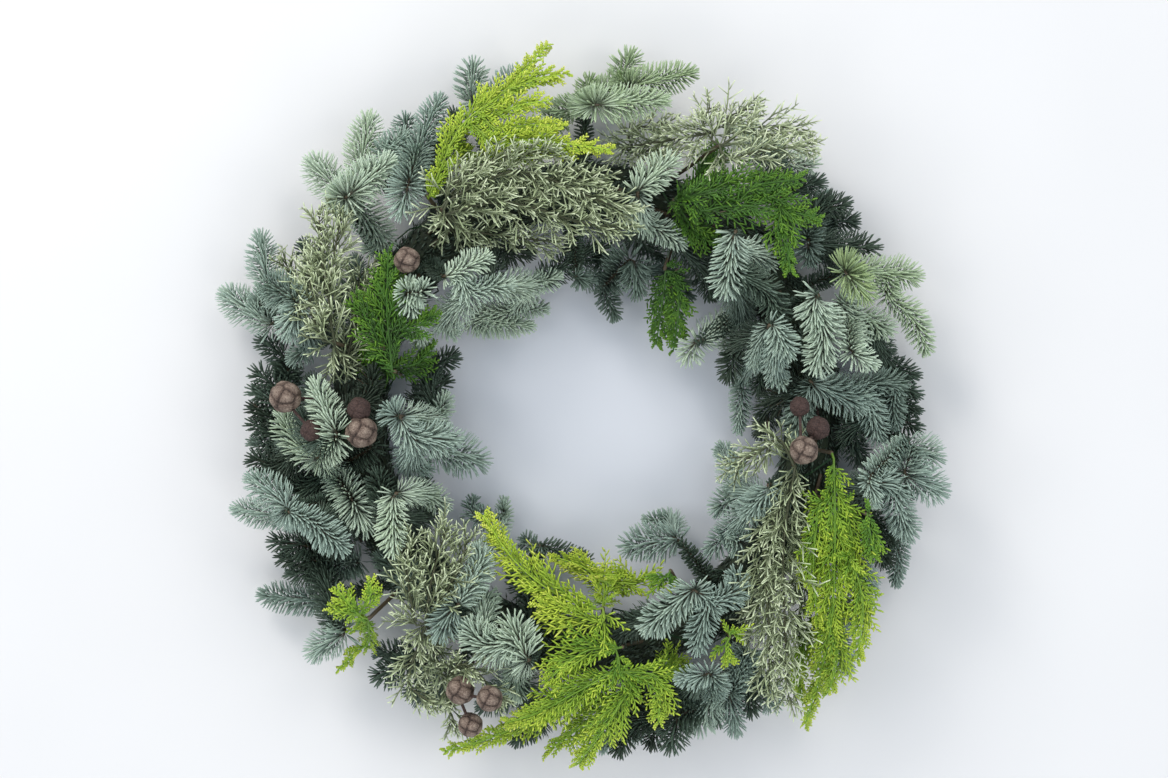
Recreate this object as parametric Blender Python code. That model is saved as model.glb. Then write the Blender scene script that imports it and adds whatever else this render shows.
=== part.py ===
"""An evergreen wreath lying on its back: noble fir, flat and thread-like cypress, and round cones.

The sprays lie clockwise on a ring of wrapped straw, and a wire binds their cut stems to it.
Each spray is one solid. A shoot is a slim tube whose surface is drawn out into needles, and the
needles stop half-way to the next twig, so that no two sprays touch.

The layout is in millimetres, as seen from the front, with the ring's centre at (0, 0) and the back
at height 0. Each shoot is written as (level, width, points from its foot to its tip). Level 1 lies
lowest against the ring, and level 3 is the outer surface of the wreath.
"""

import math

import bmesh
import bpy
import numpy as np

MM = 0.001
OUTLINE_MIDDLE = np.array((-6.0, 13.0, 0.0))  # moved to the origin when the meshes are made

# The straw ring: a D-shaped section with a flat back.
RING_RADIUS = 200.0
RING_HALF_WIDTH = 24.0
RING_HEIGHT = 42.0
RING_BACK_HALF_WIDTH = 19.0
RING_STEPS = 36

# The wire, wound loosely enough to pass over the stems.
WIRE_OWNER = -1
BED_OWNER = -2
WIRE_RADIUS = 0.8
WIRE_TURNS = 13
WIRE_SIDES = 3
NOTCH_WIDTH = 4.6
NOTCH_DEPTH = 2.5

# The stems that lie between ring and wire.
STEM_RADIUS = 1.7
SEAT_GAP = 0.5
LEAST_GAP = 0.3
STEM_STEP = 18.0
STALK_RADIUS = 1.3
SEAT_LENGTH = 18.0
FORK_STEP = (7.0, 7.0, 6.0)
SHORTEST_LINK = 6.0

# What a route pays, in millimetres of length: for each millimetre that it lies too near another
# twig, and for leaving a shoot against its direction.
CROSSING_COST = 200
BACKWARD_COST = 25.0
WIRE_LIFT = SEAT_GAP + 2 * STEM_RADIUS + 0.4 + WIRE_RADIUS

# The wreath's rounded body, which gives each shoot its height from its distance to the centre.
CREST_RADIUS = 205.0
CREST_HEIGHT = 100.0
BODY_HALF_WIDTH = 126.0
EDGE_HEIGHT = 24.0
OVER_RING_HEIGHT = 52.0
LOW_HEIGHT = 16.0
LEVEL_SHARE = {1: 0.04, 2: 0.5, 3: 1.0}
CONE_RISE = 4.0

# The bed: short shoots that fill the gaps between the others, wherever one fits.
BED_WIDTH = 28.0
BED_LENGTH = 50.0
BED_STEP = 13.0
BED_RADII = (205, 222, 188, 239, 171, 254, 156)
BED_FAN = 0.95
BED_FAN_WIDTH = 50.0
BED_OPEN = 9.0
BED_POINTS = 7
BED_OVER = 4.0
HOLE = ((-70.0, -80.0), (106.0, 46.0))
HOLE_MARGIN = 12.0
SPAN_MARGIN = 22.0
SPAN_POINTS = 25

# The links of bed shoots to their sprays: their longest length, the least share of it that goes the
# shoot's way, how many are tried, and the clearance of the bend's inside, where needles cross it.
LONGEST_LINK = 70.0
FORWARD_SHARE = 0.2
LINK_TRIES = 40
WEB_GAP = 3.0
WEB_STEPS = 6

# Clearances.
LAY_GAP = 5.0
HIGHEST_LIFT = 60.0
STEM_GAP = 0.8
NEEDLE_GAP = 1.2
FLOOR_GAP = 1.2

# A fused spray whose surface comes this near to itself is drawn again with the next seed. Two start
# from a later draw: the first one touched a neighbour there, or lost its sense when written out.
TOUCH = 0.003
MOST_DRAWS = 12
SEED = 5
FIRST_DRAWS = {"cypress_right": 1, "fir_left_dark": 1}

# Kinds of foliage. step: distance between rows of needles; lean: degrees from the twig's direction;
# flat: how far the needles rise from the spray's plane, 1 for all round; uneven: how much their
# lengths vary; twist: degrees from one row to the next.
FIR = dict(core=2.0, step=12.5, lean=52.0, flat=1.0, uneven=0.12, twist=32.0)
FAN = dict(core=1.5, step=18.0, lean=36.0, flat=0.3, uneven=0.25, twist=0.0)
THREAD = dict(core=1.3, step=18.0, lean=40.0, flat=1.0, uneven=0.45, twist=40.0)
BED = dict(core=2.0, step=15.0, lean=52.0, flat=1.0, uneven=0.12, twist=32.0)

BLUE_FIR = (0.16, 0.23, 0.22)
LIGHT_FIR = (0.25, 0.33, 0.28)
DARK_FIR = (0.07, 0.13, 0.11)
LIME = (0.42, 0.55, 0.05)
LEAF_GREEN = (0.12, 0.27, 0.04)
OLIVE = (0.2, 0.28, 0.05)
GREY_GREEN = (0.24, 0.29, 0.19)
CONE_BROWN = (0.2, 0.13, 0.1)
WRAP_GREEN = (0.06, 0.09, 0.05)
WIRE_GREEN = (0.05, 0.09, 0.05)

# name, kind, colour, shoots
SPRAYS = (
    ("fir_left_fork", FIR, BLUE_FIR, (
        (3, 26, (-238, -82), (-287, -46)),
        (2, 24, (-243, -88), (-309, -78)),
        (3, 26, (-241, -78), (-196, -113)),
    )),
    ("fir_lower_left_pair", FIR, BLUE_FIR, (
        (1, 24, (-212, -163), (-290, -156)),
        (2, 32, (-198, -178), (-242, -208)),
    )),
    ("fir_left_tips", FIR, BLUE_FIR, (
        (2, 30, (-262, 72), (-320, 112)),
        (2, 27, (-272, 98), (-284, 164)),
        (3, 32, (-238, 110), (-252, 62)),
        (2, 24, (-228, 72), (-256, 45)),
    )),
    ("fir_upper_left_a", FIR, BLUE_FIR, (
        (2, 30, (-205, 187), (-242, 227)),
        (2, 30, (-198, 188), (-187, 267)),
        (3, 32, (-212, 178), (-158, 221)),
        (2, 26, (-200, 190), (-208, 165)),
        (1, 30, (-165, 165), (-195, 140)),
    )),
    ("fir_upper_left_b", FIR, BLUE_FIR, (
        (1, 22, (-155, 232), (-159, 269)),
        (2, 26, (-152, 212), (-124, 281)),
        (2, 26, (-185, 215), (-150, 249)),
        (3, 34, (-146, 208), (-156, 163)),
    )),
    ("fir_top_left_pair", FIR, BLUE_FIR, (
        (1, 28, (-100, 262), (-99, 317)),
        (1, 26, (-95, 268), (-53, 307)),
    )),
    ("fir_top_hand", FIR, LIGHT_FIR, (
        (1, 22, (-5, 262), (6, 303)),
        (1, 30, (22, 278), (43, 325)),
        (2, 26, (25, 282), (98, 300)),
        (3, 28, (-6, 262), (73, 268)),
        (1, 24, (-50, 262), (-12, 258)),
    )),
    ("fir_top_fork", FIR, BLUE_FIR, (
        (3, 28, (32, 182), (78, 220)),
        (2, 26, (36, 175), (88, 146)),
    )),
    ("fir_top_right_edge", FIR, LIGHT_FIR, (
        (1, 26, (185, 222), (122, 256)),
        (1, 30, (172, 216), (206, 224)),
    )),
    ("fir_upper_right_low", FIR, BLUE_FIR, (
        (1, 30, (190, 195), (215, 180)),
        (1, 30, (200, 170), (223, 155)),
        (2, 28, (190, 165), (190, 125)),
    )),
    ("fir_upper_right_fans", FIR, LIGHT_FIR, (
        (3, 32, (125, 166), (116, 98)),
        (2, 24, (150, 150), (150, 118)),
    )),
    ("fir_right_hand", FIR, LIGHT_FIR, (
        (2, 30, (212, 128), (292, 122)),
        (3, 30, (208, 132), (241, 97)),
        (2, 22, (248, 110), (280, 88), (297, 52)),
    )),
    ("fir_right_edge", FIR, BLUE_FIR, (
        (2, 26, (228, 92), (266, 72)),
        (2, 32, (208, 112), (240, 60)),
        (3, 22, (212, 62), (246, 42)),
    )),
    ("fir_right_crest", FIR, LIGHT_FIR, (
        (3, 36, (190, 112), (192, 70)),
        (3, 34, (204, 84), (189, 34)),
    )),
    ("fir_right_inner", FIR, BLUE_FIR, (
        (3, 26, (150, 92), (173, 48)),
        (2, 22, (138, 62), (160, 40)),
        (2, 24, (156, 46), (174, 24)),
        (1, 20, (140, 50), (133, -18)),
    )),
    ("fir_right_middle", FIR, BLUE_FIR, (
        (2, 32, (178, 36), (248, 5)),
        (2, 22, (262, 42), (266, -15)),
        (2, 28, (235, 30), (255, -25)),
    )),
    ("fir_right_lower_hand", FIR, BLUE_FIR, (
        (2, 30, (262, -15), (307, -38)),
        (3, 34, (258, -42), (308, -66)),
        (3, 20, (236, -36), (243, -79)),
        (3, 28, (250, -42), (275, -106)),
        (1, 20, (275, -85), (272, -152)),
        (1, 30, (225, -50), (235, -95)),
    )),
    ("fir_lower_right_long", FIR, BLUE_FIR, (
        (3, 24, (235, -112), (228, -176)),
        (1, 26, (216, -168), (222, -196), (230, -228)),
    )),
    ("fir_bottom_right", FIR, BLUE_FIR, (
        (1, 26, (145, -225), (169, -259)),
        (2, 26, (122, -222), (130, -277)),
        (2, 34, (116, -226), (90, -273)),
        (3, 24, (118, -213), (72, -218)),
        (2, 28, (142, -188), (125, -228)),
    )),
    ("fir_bottom_crest", FIR, BLUE_FIR, (
        (3, 32, (102, -133), (42, -181)),
        (3, 26, (106, -138), (91, -199)),
        (3, 24, (134, -150), (118, -124)),
    )),
    ("fir_inner_right_low", FIR, BLUE_FIR, (
        (3, 26, (165, -48), (130, -85)),
        (2, 28, (134, -86), (101, -119)),
        (2, 30, (142, -59), (106, -83)),
        (2, 24, (140, -110), (120, -100)),
        (1, 22, (132, -30), (110, -33)),
    )),
    ("fir_inner_bottom_right", FIR, BLUE_FIR, (
        (2, 30, (92, -102), (27, -113)),
        (1, 18, (88, -92), (47, -90)),
    )),
    ("fir_bottom_tips", FIR, BLUE_FIR, (
        (1, 24, (52, -254), (42, -289)),
        (1, 26, (20, -268), (12, -296)),
    )),
    ("fir_bottom_left_crest", FIR, LIGHT_FIR, (
        (3, 38, (-45, -212), (-66, -160)),
        (3, 36, (-75, -200), (-105, -165)),
        (2, 26, (-95, -145), (-75, -165)),
        (2, 28, (-60, -200), (-58, -245)),
    )),
    ("fir_inner_bottom_left", FIR, BLUE_FIR, (
        (3, 32, (-105, -148), (-128, -189)),
        (3, 24, (-85, -135), (-95, -102)),
        (1, 20, (-75, -106), (-71, -67)),
        (1, 18, (-98, -100), (-99, -66)),
    )),
    ("fir_inner_bottom", FIR, DARK_FIR, (
        (1, 18, (-30, -122), (-60, -104)),
        (1, 18, (12, -132), (-18, -122)),
    )),
    ("fir_bottom_left_edge", FIR, DARK_FIR, (
        (1, 26, (-110, -245), (-162, -238)),
        (1, 26, (-130, -215), (-188, -205)),
    )),
    ("fir_inner_left_low", FIR, LIGHT_FIR, (
        (3, 26, (-162, -54), (-160, -118)),
        (2, 26, (-150, -60), (-115, -78)),
    )),
    ("fir_left_crest", FIR, LIGHT_FIR, (
        (2, 30, (-215, -40), (-245, -25), (-263, 9)),
        (3, 32, (-204, -26), (-229, 36)),
        (1, 28, (-205, -45), (-240, -45)),
        (2, 34, (-205, -58), (-180, -100)),
    )),
    ("fir_inner_left_hand", FIR, BLUE_FIR, (
        (3, 30, (-150, -6), (-173, 16)),
        (2, 24, (-135, -12), (-118, 24)),
        (2, 36, (-145, -20), (-83, -41)),
        (3, 28, (-160, -15), (-103, -18)),
        (2, 28, (-165, -35), (-130, -45)),
    )),
    ("fir_left_dark", FIR, DARK_FIR, (
        (1, 30, (-240, -92), (-222, -160)),
        (1, 34, (-262, -45), (-262, 58)),
        (1, 26, (-190, -125), (-215, -125)),
    )),
    ("fir_inner_upper_left", FIR, LIGHT_FIR, (
        (3, 22, (-130, 112), (-77, 138)),
        (3, 24, (-112, 104), (-58, 114)),
        (2, 24, (-58, 112), (-17, 124)),
        (1, 20, (-75, 96), (-30, 95)),
        (1, 24, (-112, 86), (-42, 80)),
        (2, 28, (-130, 92), (-108, 68)),
    )),
    ("fir_inner_top", FIR, DARK_FIR, (
        (2, 20, (-12, 128), (0, 112)),
        (1, 20, (8, 130), (28, 82)),
        (2, 30, (35, 150), (48, 100)),
        (1, 26, (70, 132), (95, 100)),
    )),
    ("fir_inner_upper_right", FIR, LIGHT_FIR, (
        (2, 26, (100, 78), (84, 45)),
        (1, 30, (120, 95), (135, 50)),
    )),
    ("fir_left_heart", FIR, LIGHT_FIR, (
        (3, 28, (-140, 100), (-160, 115)),
        (3, 24, (-142, 98), (-130, 118)),
        (3, 26, (-148, 100), (-142, 82)),
        (1, 18, (-138, 60), (-135, 25)),
    )),
    ("cypress_top_left", FAN, LIME, (
        (3, 22, (-140, 165), (-125, 200), (-105, 245), (-70, 275), (-28, 327)),
        (3, 16, (-92, 255), (-82, 284)),
        (3, 20, (-80, 268), (-45, 286), (-10, 292)),
        (3, 18, (-100, 246), (-60, 262), (-25, 268)),
        (3, 20, (-95, 240), (-40, 246), (-12, 244)),
        (3, 22, (-98, 234), (-40, 232), (27, 224)),
        (2, 20, (-110, 222), (-65, 221), (-20, 228)),
    )),
    ("cypress_top_right", FAN, LEAF_GREEN, (
        (2, 30, (62, 178), (100, 205), (118, 242)),
        (3, 30, (64, 178), (110, 192), (152, 197), (190, 203)),
        (3, 28, (80, 170), (130, 178), (204, 167)),
        (3, 26, (130, 180), (160, 183), (172, 115)),
        (2, 24, (72, 165), (120, 150)),
    )),
    ("cypress_right", FAN, LIME, (
        (3, 28, (206, -12), (208, -100), (205, -180), (188, -275)),
        (3, 26, (200, -50), (190, -110), (194, -180)),
        (3, 24, (212, -50), (224, -110), (222, -150)),
        (3, 24, (212, -100), (231, -150), (229, -212)),
        (3, 24, (206, -150), (213, -200), (205, -242)),
        (2, 22, (197, -165), (184, -215), (188, -252)),
    )),
    ("cypress_bottom_arm", FAN, LIME, (
        (3, 30, (30, -165), (-20, -150), (-60, -120), (-92, -75)),
        (3, 32, (35, -175), (-5, -166), (-48, -152)),
        (2, 26, (30, -160), (0, -130), (-35, -118)),
        (2, 26, (62, -150), (30, -136), (0, -134)),
    )),
    ("cypress_bottom_fan", FAN, LIME, (
        (3, 32, (45, -192), (0, -194), (-40, -225)),
        (3, 32, (42, -200), (0, -224), (-40, -246), (-75, -258)),
        (2, 24, (25, -222), (-30, -252), (-80, -275), (-130, -292)),
        (3, 30, (46, -206), (22, -250), (-12, -300)),
        (2, 28, (35, -225), (0, -262), (-40, -292)),
        (3, 28, (52, -200), (62, -228), (60, -262)),
        (2, 24, (54, -196), (72, -205), (90, -224)),
    )),
    ("cypress_left", FAN, LEAF_GREEN, (
        (3, 30, (-160, 20), (-166, 85), (-165, 147)),
        (3, 26, (-162, 40), (-180, 75), (-195, 110)),
        (2, 22, (-162, 28), (-182, 50), (-192, 80)),
        (3, 22, (-163, 60), (-145, 75), (-122, 92)),
        (2, 22, (-160, 30), (-146, 46), (-127, 66)),
    )),
    ("cypress_lower_left", FAN, LIME, (
        (3, 18, (-172, -178), (-195, -160), (-212, -138)),
        (3, 16, (-180, -172), (-200, -164), (-220, -156)),
        (2, 14, (-178, -176), (-208, -183)),
        (3, 18, (-182, -168), (-180, -148), (-180, -130)),
        (2, 16, (-175, -185), (-198, -202), (-218, -222)),
    )),
    ("cypress_inner_top", FAN, LEAF_GREEN, (
        (2, 24, (70, 146), (66, 100), (60, 57)),
        (2, 22, (73, 140), (80, 95), (75, 52)),
    )),
    ("cypress_bottom_sprig", FAN, LIME, (
        (3, 16, (108, -170), (120, -178), (134, -183)),
        (3, 16, (110, -172), (116, -192), (122, -208)),
    )),
    ("cypress_inner_bottom", FAN, OLIVE, (
        (3, 18, (92, -126), (72, -131), (50, -139)),
    )),
    ("cypress_right_olive", FAN, OLIVE, (
        (3, 20, (232, -62), (236, -92), (242, -124)),
    )),
    ("thread_top_left", THREAD, GREY_GREEN, (
        (3, 36, (-135, 170), (-60, 205), (0, 185), (38, 172)),
        (3, 34, (-135, 165), (-70, 180), (-10, 165), (35, 155)),
        (3, 32, (-130, 180), (-75, 216), (-20, 222)),
        (2, 30, (-130, 160), (-80, 156), (-20, 150)),
        (3, 30, (-60, 190), (-15, 202), (20, 196)),
        (3, 28, (-125, 178), (-98, 200), (-80, 216)),
    )),
    ("thread_top_right", THREAD, GREY_GREEN, (
        (3, 36, (95, 215), (140, 245), (193, 245)),
        (3, 34, (100, 212), (150, 225), (200, 232)),
        (3, 34, (95, 218), (115, 250), (150, 268)),
        (3, 28, (90, 222), (98, 245), (107, 270)),
        (2, 32, (18, 232), (48, 228), (80, 225)),
        (2, 28, (20, 238), (50, 250), (78, 254)),
    )),
    ("thread_left", THREAD, GREY_GREEN, (
        (3, 36, (-205, 40), (-215, 100), (-205, 177)),
        (3, 34, (-208, 45), (-228, 85), (-232, 140)),
        (2, 32, (-208, 30), (-196, 75), (-190, 130)),
        (2, 26, (-230, 92), (-250, 116), (-262, 140)),
        (3, 30, (-214, 90), (-222, 140), (-226, 180)),
    )),
    ("thread_bottom_left", THREAD, GREY_GREEN, (
        (3, 34, (-135, -190), (-130, -140), (-115, -85)),
        (3, 32, (-138, -190), (-148, -140), (-150, -95)),
        (3, 30, (-130, -165), (-106, -125), (-98, -95)),
        (2, 30, (-130, -200), (-120, -235), (-112, -275)),
        (3, 28, (-120, -195), (-88, -215), (-68, -240)),
        (3, 26, (-140, -196), (-150, -222), (-122, -245)),
    )),
    ("thread_right", THREAD, GREY_GREEN, (
        (3, 34, (178, -20), (165, -100), (166, -170), (170, -246)),
        (3, 30, (175, -10), (150, -25), (119, -44)),
        (3, 34, (172, -60), (150, -105), (152, -165), (155, -236)),
        (2, 28, (168, -115), (146, -150), (135, -186)),
        (2, 28, (178, -80), (184, -130), (181, -192)),
    )),
)

# Cones on their stalks: name, (centre x, centre y, diameter) of each.
CONE_BUNCHES = (
    ("cones_left_outer", ((-251, 18, 27), (-229, -10, 18))),
    ("cones_left_inner", ((-187, -11, 27), (-189, 8, 20))),
    ("cones_bottom", ((-105, -227, 24), (-80, -232, 22), (-97, -257, 21))),
    ("cones_right", ((180, -26, 24), (193, -8, 20), (178, 10, 17))),
    ("cone_upper_left", ((-149, 132, 22),)),
)


# Curves and distances.


def unit(vectors):
    """Vectors of length 1."""
    return vectors / np.maximum(np.linalg.norm(vectors, axis=-1, keepdims=True), 1e-9)


def smooth_path(points, step):
    """Points every step or so along a smooth curve through the given points."""
    points = np.asarray(points, float)
    ends = np.vstack([2 * points[0] - points[1], points, 2 * points[-1] - points[-2]])
    pieces = []
    for a, b, c, d in zip(ends[:-3], ends[1:-2], ends[2:-1], ends[3:]):
        count = max(1, round(float(np.linalg.norm(c - b)) / step))
        t = np.linspace(0, 1, count, endpoint=False)[:, None]
        bend = (c - a) * t + (2 * a - 5 * b + 4 * c - d) * t**2 + (3 * b - a - 3 * c + d) * t**3
        pieces.append(b + bend / 2)
    return np.vstack([*pieces, points[-1:]])


def close_points(path, step=3.0):
    """Points every step or so along the straight pieces of a path."""
    return np.vstack([
        np.linspace(a, b, max(2, int(np.linalg.norm(b - a) / step) + 1))
        for a, b in zip(path[:-1], path[1:])
    ])


def distances(points, starts, ends):
    """The distance from every point to every straight piece, as a table."""
    along = ends - starts
    squares = np.maximum((along**2).sum(1), 1e-9)
    from_start = points[:, None] - starts[None]
    share = np.clip((from_start * along).sum(2) / squares, 0, 1)
    return np.linalg.norm(from_start - share[..., None] * along, axis=2)


class Placed:
    """Every rod and ball placed so far: straight pieces with a radius, an owner and a twig number."""

    def __init__(self):
        self.starts = np.zeros((0, 3))
        self.ends = np.zeros((0, 3))
        self.radii = np.zeros(0)
        self.owners = np.zeros(0, int)
        self.twigs = np.zeros(0, int)

    def add(self, path, radius, owner, twig=-1):
        path = np.asarray(path, float)
        count = len(path) - 1
        self.starts = np.vstack([self.starts, path[:-1]])
        self.ends = np.vstack([self.ends, path[1:]])
        self.radii = np.append(self.radii, np.full(count, float(radius)))
        self.owners = np.append(self.owners, np.full(count, owner))
        self.twigs = np.append(self.twigs, np.full(count, twig))

    def near(self, points, reach, owner, twig=None):
        """Those within reach of the points' box, without the owner's, or without one of its twigs."""
        low = np.min(points, axis=0) - reach
        high = np.max(points, axis=0) + reach
        inside = (np.maximum(self.starts, self.ends) > low).all(1)
        inside &= (np.minimum(self.starts, self.ends) < high).all(1)
        own = self.owners == owner
        inside &= ~own if twig is None else ~(own & (self.twigs == twig))
        found = Placed()
        found.starts, found.ends, found.radii = (
            self.starts[inside], self.ends[inside], self.radii[inside]
        )
        return found

    def gaps(self, points):
        """The open distance from each point to the nearest surface."""
        if not len(self.radii):
            return np.full(len(points), 1000.0)
        return (distances(points, self.starts, self.ends) - self.radii).min(1)


# The ring and its wire.


def ring_section():
    """The ring's section from the inner back corner over the front, as (across, height)."""
    angles = np.linspace(math.pi, 0, 7)
    shoulder = 13.0
    arch = [
        (RING_HALF_WIDTH * math.cos(a), shoulder + (RING_HEIGHT - shoulder) * math.sin(a))
        for a in angles
    ]
    return np.array([(-RING_BACK_HALF_WIDTH, 0.0), *arch, (RING_BACK_HALF_WIDTH, 0.0)])


SECTION = ring_section()


def section_normals():
    """The outward direction of each flat of the section, its closing back included."""
    along = np.roll(SECTION, -1, axis=0) - SECTION
    return unit(np.stack([-along[:, 1], along[:, 0]], axis=1))


def flatness(angle):
    """How much nearer the centre the ring's straight stretches are than a true circle."""
    stretch = 2 * math.pi / RING_STEPS
    return math.cos(stretch / 2) / np.cos(np.mod(angle, stretch) - stretch / 2)


def ring_gap(points):
    """How far each point is outside the ring's surface, or less."""
    angle = np.arctan2(points[:, 1], points[:, 0])
    across = np.hypot(points[:, 0], points[:, 1]) / flatness(angle) - RING_RADIUS
    flat = np.stack([across, points[:, 2]], axis=1)
    return ((flat[:, None] - SECTION) * section_normals()).sum(2).max(1)


def on_ring(angle, share, lift):
    """A point above the front of the ring: angle round it, share across it from inside to outside."""
    arch = SECTION[1:-1]
    place = share * (len(arch) - 1)
    low = np.minimum(place.astype(int), len(arch) - 2)
    part = (place - low)[..., None]
    spot = arch[low] * (1 - part) + arch[low + 1] * part
    corner = unit(section_normals()[:-2] + section_normals()[1:-1])
    normal = unit(corner[low] * (1 - part) + corner[low + 1] * part)
    spot = spot + normal * lift
    radius = (RING_RADIUS + spot[..., 0]) * flatness(angle)
    return np.stack([radius * np.cos(angle), radius * np.sin(angle), spot[..., 1]], axis=-1)


def wire_path():
    """Once round the ring's section for each turn: straight across the back, slanting over the front."""
    shares = np.linspace(0.0, 1.0, 7)
    pitch = 2 * math.pi / WIRE_TURNS
    back = RING_BACK_HALF_WIDTH + 1.5
    low = WIRE_RADIUS + 0.3
    points = []
    for turn in range(WIRE_TURNS):
        start = turn * pitch
        angles = start + pitch * np.linspace(0.04, 0.96, len(shares))
        points.append(on_ring(angles, shares, WIRE_LIFT))
        if turn < WIRE_TURNS - 1:
            for across in (back, -back):
                radius = RING_RADIUS + across
                end = start + pitch
                points.append([[radius * math.cos(end), radius * math.sin(end), low]])
    return np.vstack(points)


def notch_angles():
    """Where the wire passes under the ring's back."""
    return [2 * math.pi * turn / WIRE_TURNS for turn in range(1, WIRE_TURNS)]


# Laying the shoots.


def resting_height(radius):
    """The lowest a twig's axis lies at this distance from the centre: on the bound ring, or beside it."""
    over = np.exp(-(((radius - RING_RADIUS) / 36.0) ** 4))
    return LOW_HEIGHT + (OVER_RING_HEIGHT - LOW_HEIGHT) * over


def body_height(radius):
    """The height of the wreath's rounded outer surface at this distance from the centre."""
    share = np.clip(1 - ((radius - CREST_RADIUS) / BODY_HALF_WIDTH) ** 2, 0, 1)
    return EDGE_HEIGHT + (CREST_HEIGHT - EDGE_HEIGHT) * np.sqrt(share)


def shoot_axis(level, width, places, kind):
    """The twig's curve in space. The needles at its end reach on past it to the last place."""
    flat = np.array(places, float)
    last = flat[-1] - flat[-2]
    length = np.linalg.norm(last)
    reach = min(0.3 * width, 0.4 * length)
    flat[-1] -= last / length * reach
    radius = np.linalg.norm(flat, axis=1)
    low = resting_height(radius)
    high = np.maximum(body_height(radius), low)
    height = low + (high - low) * LEVEL_SHARE[level]
    whole = np.linalg.norm(np.diff(flat, axis=0), axis=1).sum()
    return smooth_path(np.column_stack([flat, height]), min(kind["step"], whole / 2))


def lay(axis, radius, owner, placed):
    """Raises a shoot until it clears everything below it."""
    others = placed.near(axis, 70.0, owner)
    points = close_points(axis)
    lift = 0.0
    while lift < HIGHEST_LIFT:
        raised = points + (0.0, 0.0, lift)
        if min(others.gaps(raised).min(), ring_gap(raised).min()) - radius >= LAY_GAP:
            break
        lift += 1.0
    return axis + (0.0, 0.0, lift)


def lay_all(placed):
    """The axes of all shoots, the lowest level first, as {spray: [axis, ...]}."""
    axes = {}
    for level in (1, 2, 3):
        for owner, (name, kind, _, shoots) in enumerate(SPRAYS):
            for index, (shoot_level, width, *places) in enumerate(shoots):
                if shoot_level != level:
                    continue
                axis = lay(shoot_axis(level, width, places, kind), kind["core"], owner, placed)
                placed.add(axis, kind["core"], owner, index)
                axes.setdefault(name, {})[index] = axis
    return {name: [found[i] for i in sorted(found)] for name, found in axes.items()}


# Stems.


def path_gap(points, radius, others):
    """The least open distance round a rod of this radius along the points."""
    open_air = others.gaps(points).min() - radius
    above_floor = points[:, 2].min() - radius - FLOOR_GAP
    return min(open_air, ring_gap(points).min() - radius, above_floor)


def link_gap(start, end, others):
    """The open distance round a straight link."""
    return path_gap(close_points(np.array([start, end])), STEM_RADIUS, others)


def fork_place(feet, owner, placed):
    """Where a spray's stem ends: just behind the first foot, nearer the ring, in the clear."""
    foot, middle = feet[0], np.mean(feet, axis=0)
    radius = max(np.hypot(foot[0], foot[1]), 1.0)
    inward = np.clip(RING_RADIUS - radius, -12, 12) / radius * foot * (1, 1, 0) - (0, 0, 6)
    others = placed.near(np.vstack([foot, foot + inward]), 40.0, owner)
    best, best_cost = None, np.inf
    for shift in np.ndindex(5, 5, 6):
        place = foot + inward + (np.array(shift) - (2, 2, 3)) * FORK_STEP
        gap = link_gap(place, foot, others)
        cost = np.linalg.norm(foot - place) + 0.3 * np.linalg.norm(middle - place)
        cost += CROSSING_COST * max(0.0, STEM_GAP - gap)
        if cost < best_cost:
            best, best_cost = place, cost
    return best


def starts_of(axes, fork, kind, owner, placed):
    """Where each shoot leaves the spray: the nearest clear place on the fork or an earlier shoot."""
    starts = [fork]
    placed.add([fork, axes[0][1]], kind["core"], owner, 0)
    for index, axis in enumerate(axes[1:], 1):
        foot, ahead = axis[1], unit(axis[2] - axis[1])
        earlier = [close_points(other[1:-1], 5.0)[1:-1] for other in axes[:index] if len(other) > 3]
        places = np.vstack([[fork], *earlier])
        others = placed.near(np.vstack([places, [foot]]), 10.0, owner)
        costs = []
        for place in places:
            link = foot - place
            length = np.linalg.norm(link)
            cost = length + CROSSING_COST * max(0.0, STEM_GAP - link_gap(place, foot, others))
            cost += BACKWARD_COST * (link @ ahead < 0)
            costs.append(cost + CROSSING_COST * (length < SHORTEST_LINK))
        start = places[int(np.argmin(costs))]
        starts.append(start)
        placed.add([start, foot], kind["core"], owner, index)
    return starts


def stem_path(fork, owner, placed):
    """A free way from the fork down to the ring, ending in a run along its surface, under the wire."""
    around = math.atan2(fork[1], fork[0])
    run = SEAT_LENGTH / RING_RADIUS
    corners = on_ring(around + np.array([0.0, 0.5]), np.array([0.0, 1.0]), 10.0)
    others = placed.near(np.vstack([fork, corners]), 25.0, owner)
    best, best_cost = None, np.inf
    for back in np.linspace(0.0, 0.36, 10):
        for share in np.linspace(0.0, 1.0, 9):
            angles = around + back + np.array([0.0, run])
            seat = on_ring(angles, np.full(2, share), STEM_RADIUS + SEAT_GAP)
            if path_gap(close_points(seat), STEM_RADIUS, others) < LEAST_GAP:
                continue
            for rise in (10.0, 20.0):
                for ahead in (0.3, 0.6):
                    bend = on_ring(np.array([around + back * ahead]), np.array([share]), rise)
                    path = smooth_path(np.vstack([fork, bend, seat]), STEM_STEP)
                    gap = path_gap(close_points(path), STEM_RADIUS, others)
                    cost = np.linalg.norm(np.diff(path, axis=0), axis=1).sum()
                    cost += 3 * CROSSING_COST * max(0.0, LEAST_GAP - gap)
                    if cost < best_cost:
                        best, best_cost = path, cost
    return best


# Meshes.


def frames(path):
    """Direction, side and up at each point of a path, turning no more than the path does."""
    ahead = unit(np.gradient(path, axis=0))
    side = np.zeros_like(path)
    last = np.cross(ahead[0], (0.0, 0.0, 1.0))
    if np.linalg.norm(last) < 0.1:
        last = np.array((1.0, 0.0, 0.0))
    for i, direction in enumerate(ahead):
        last = last - direction * last.dot(direction)
        last = last / np.linalg.norm(last)
        side[i] = last
    return ahead, side, np.cross(side, ahead)


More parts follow.
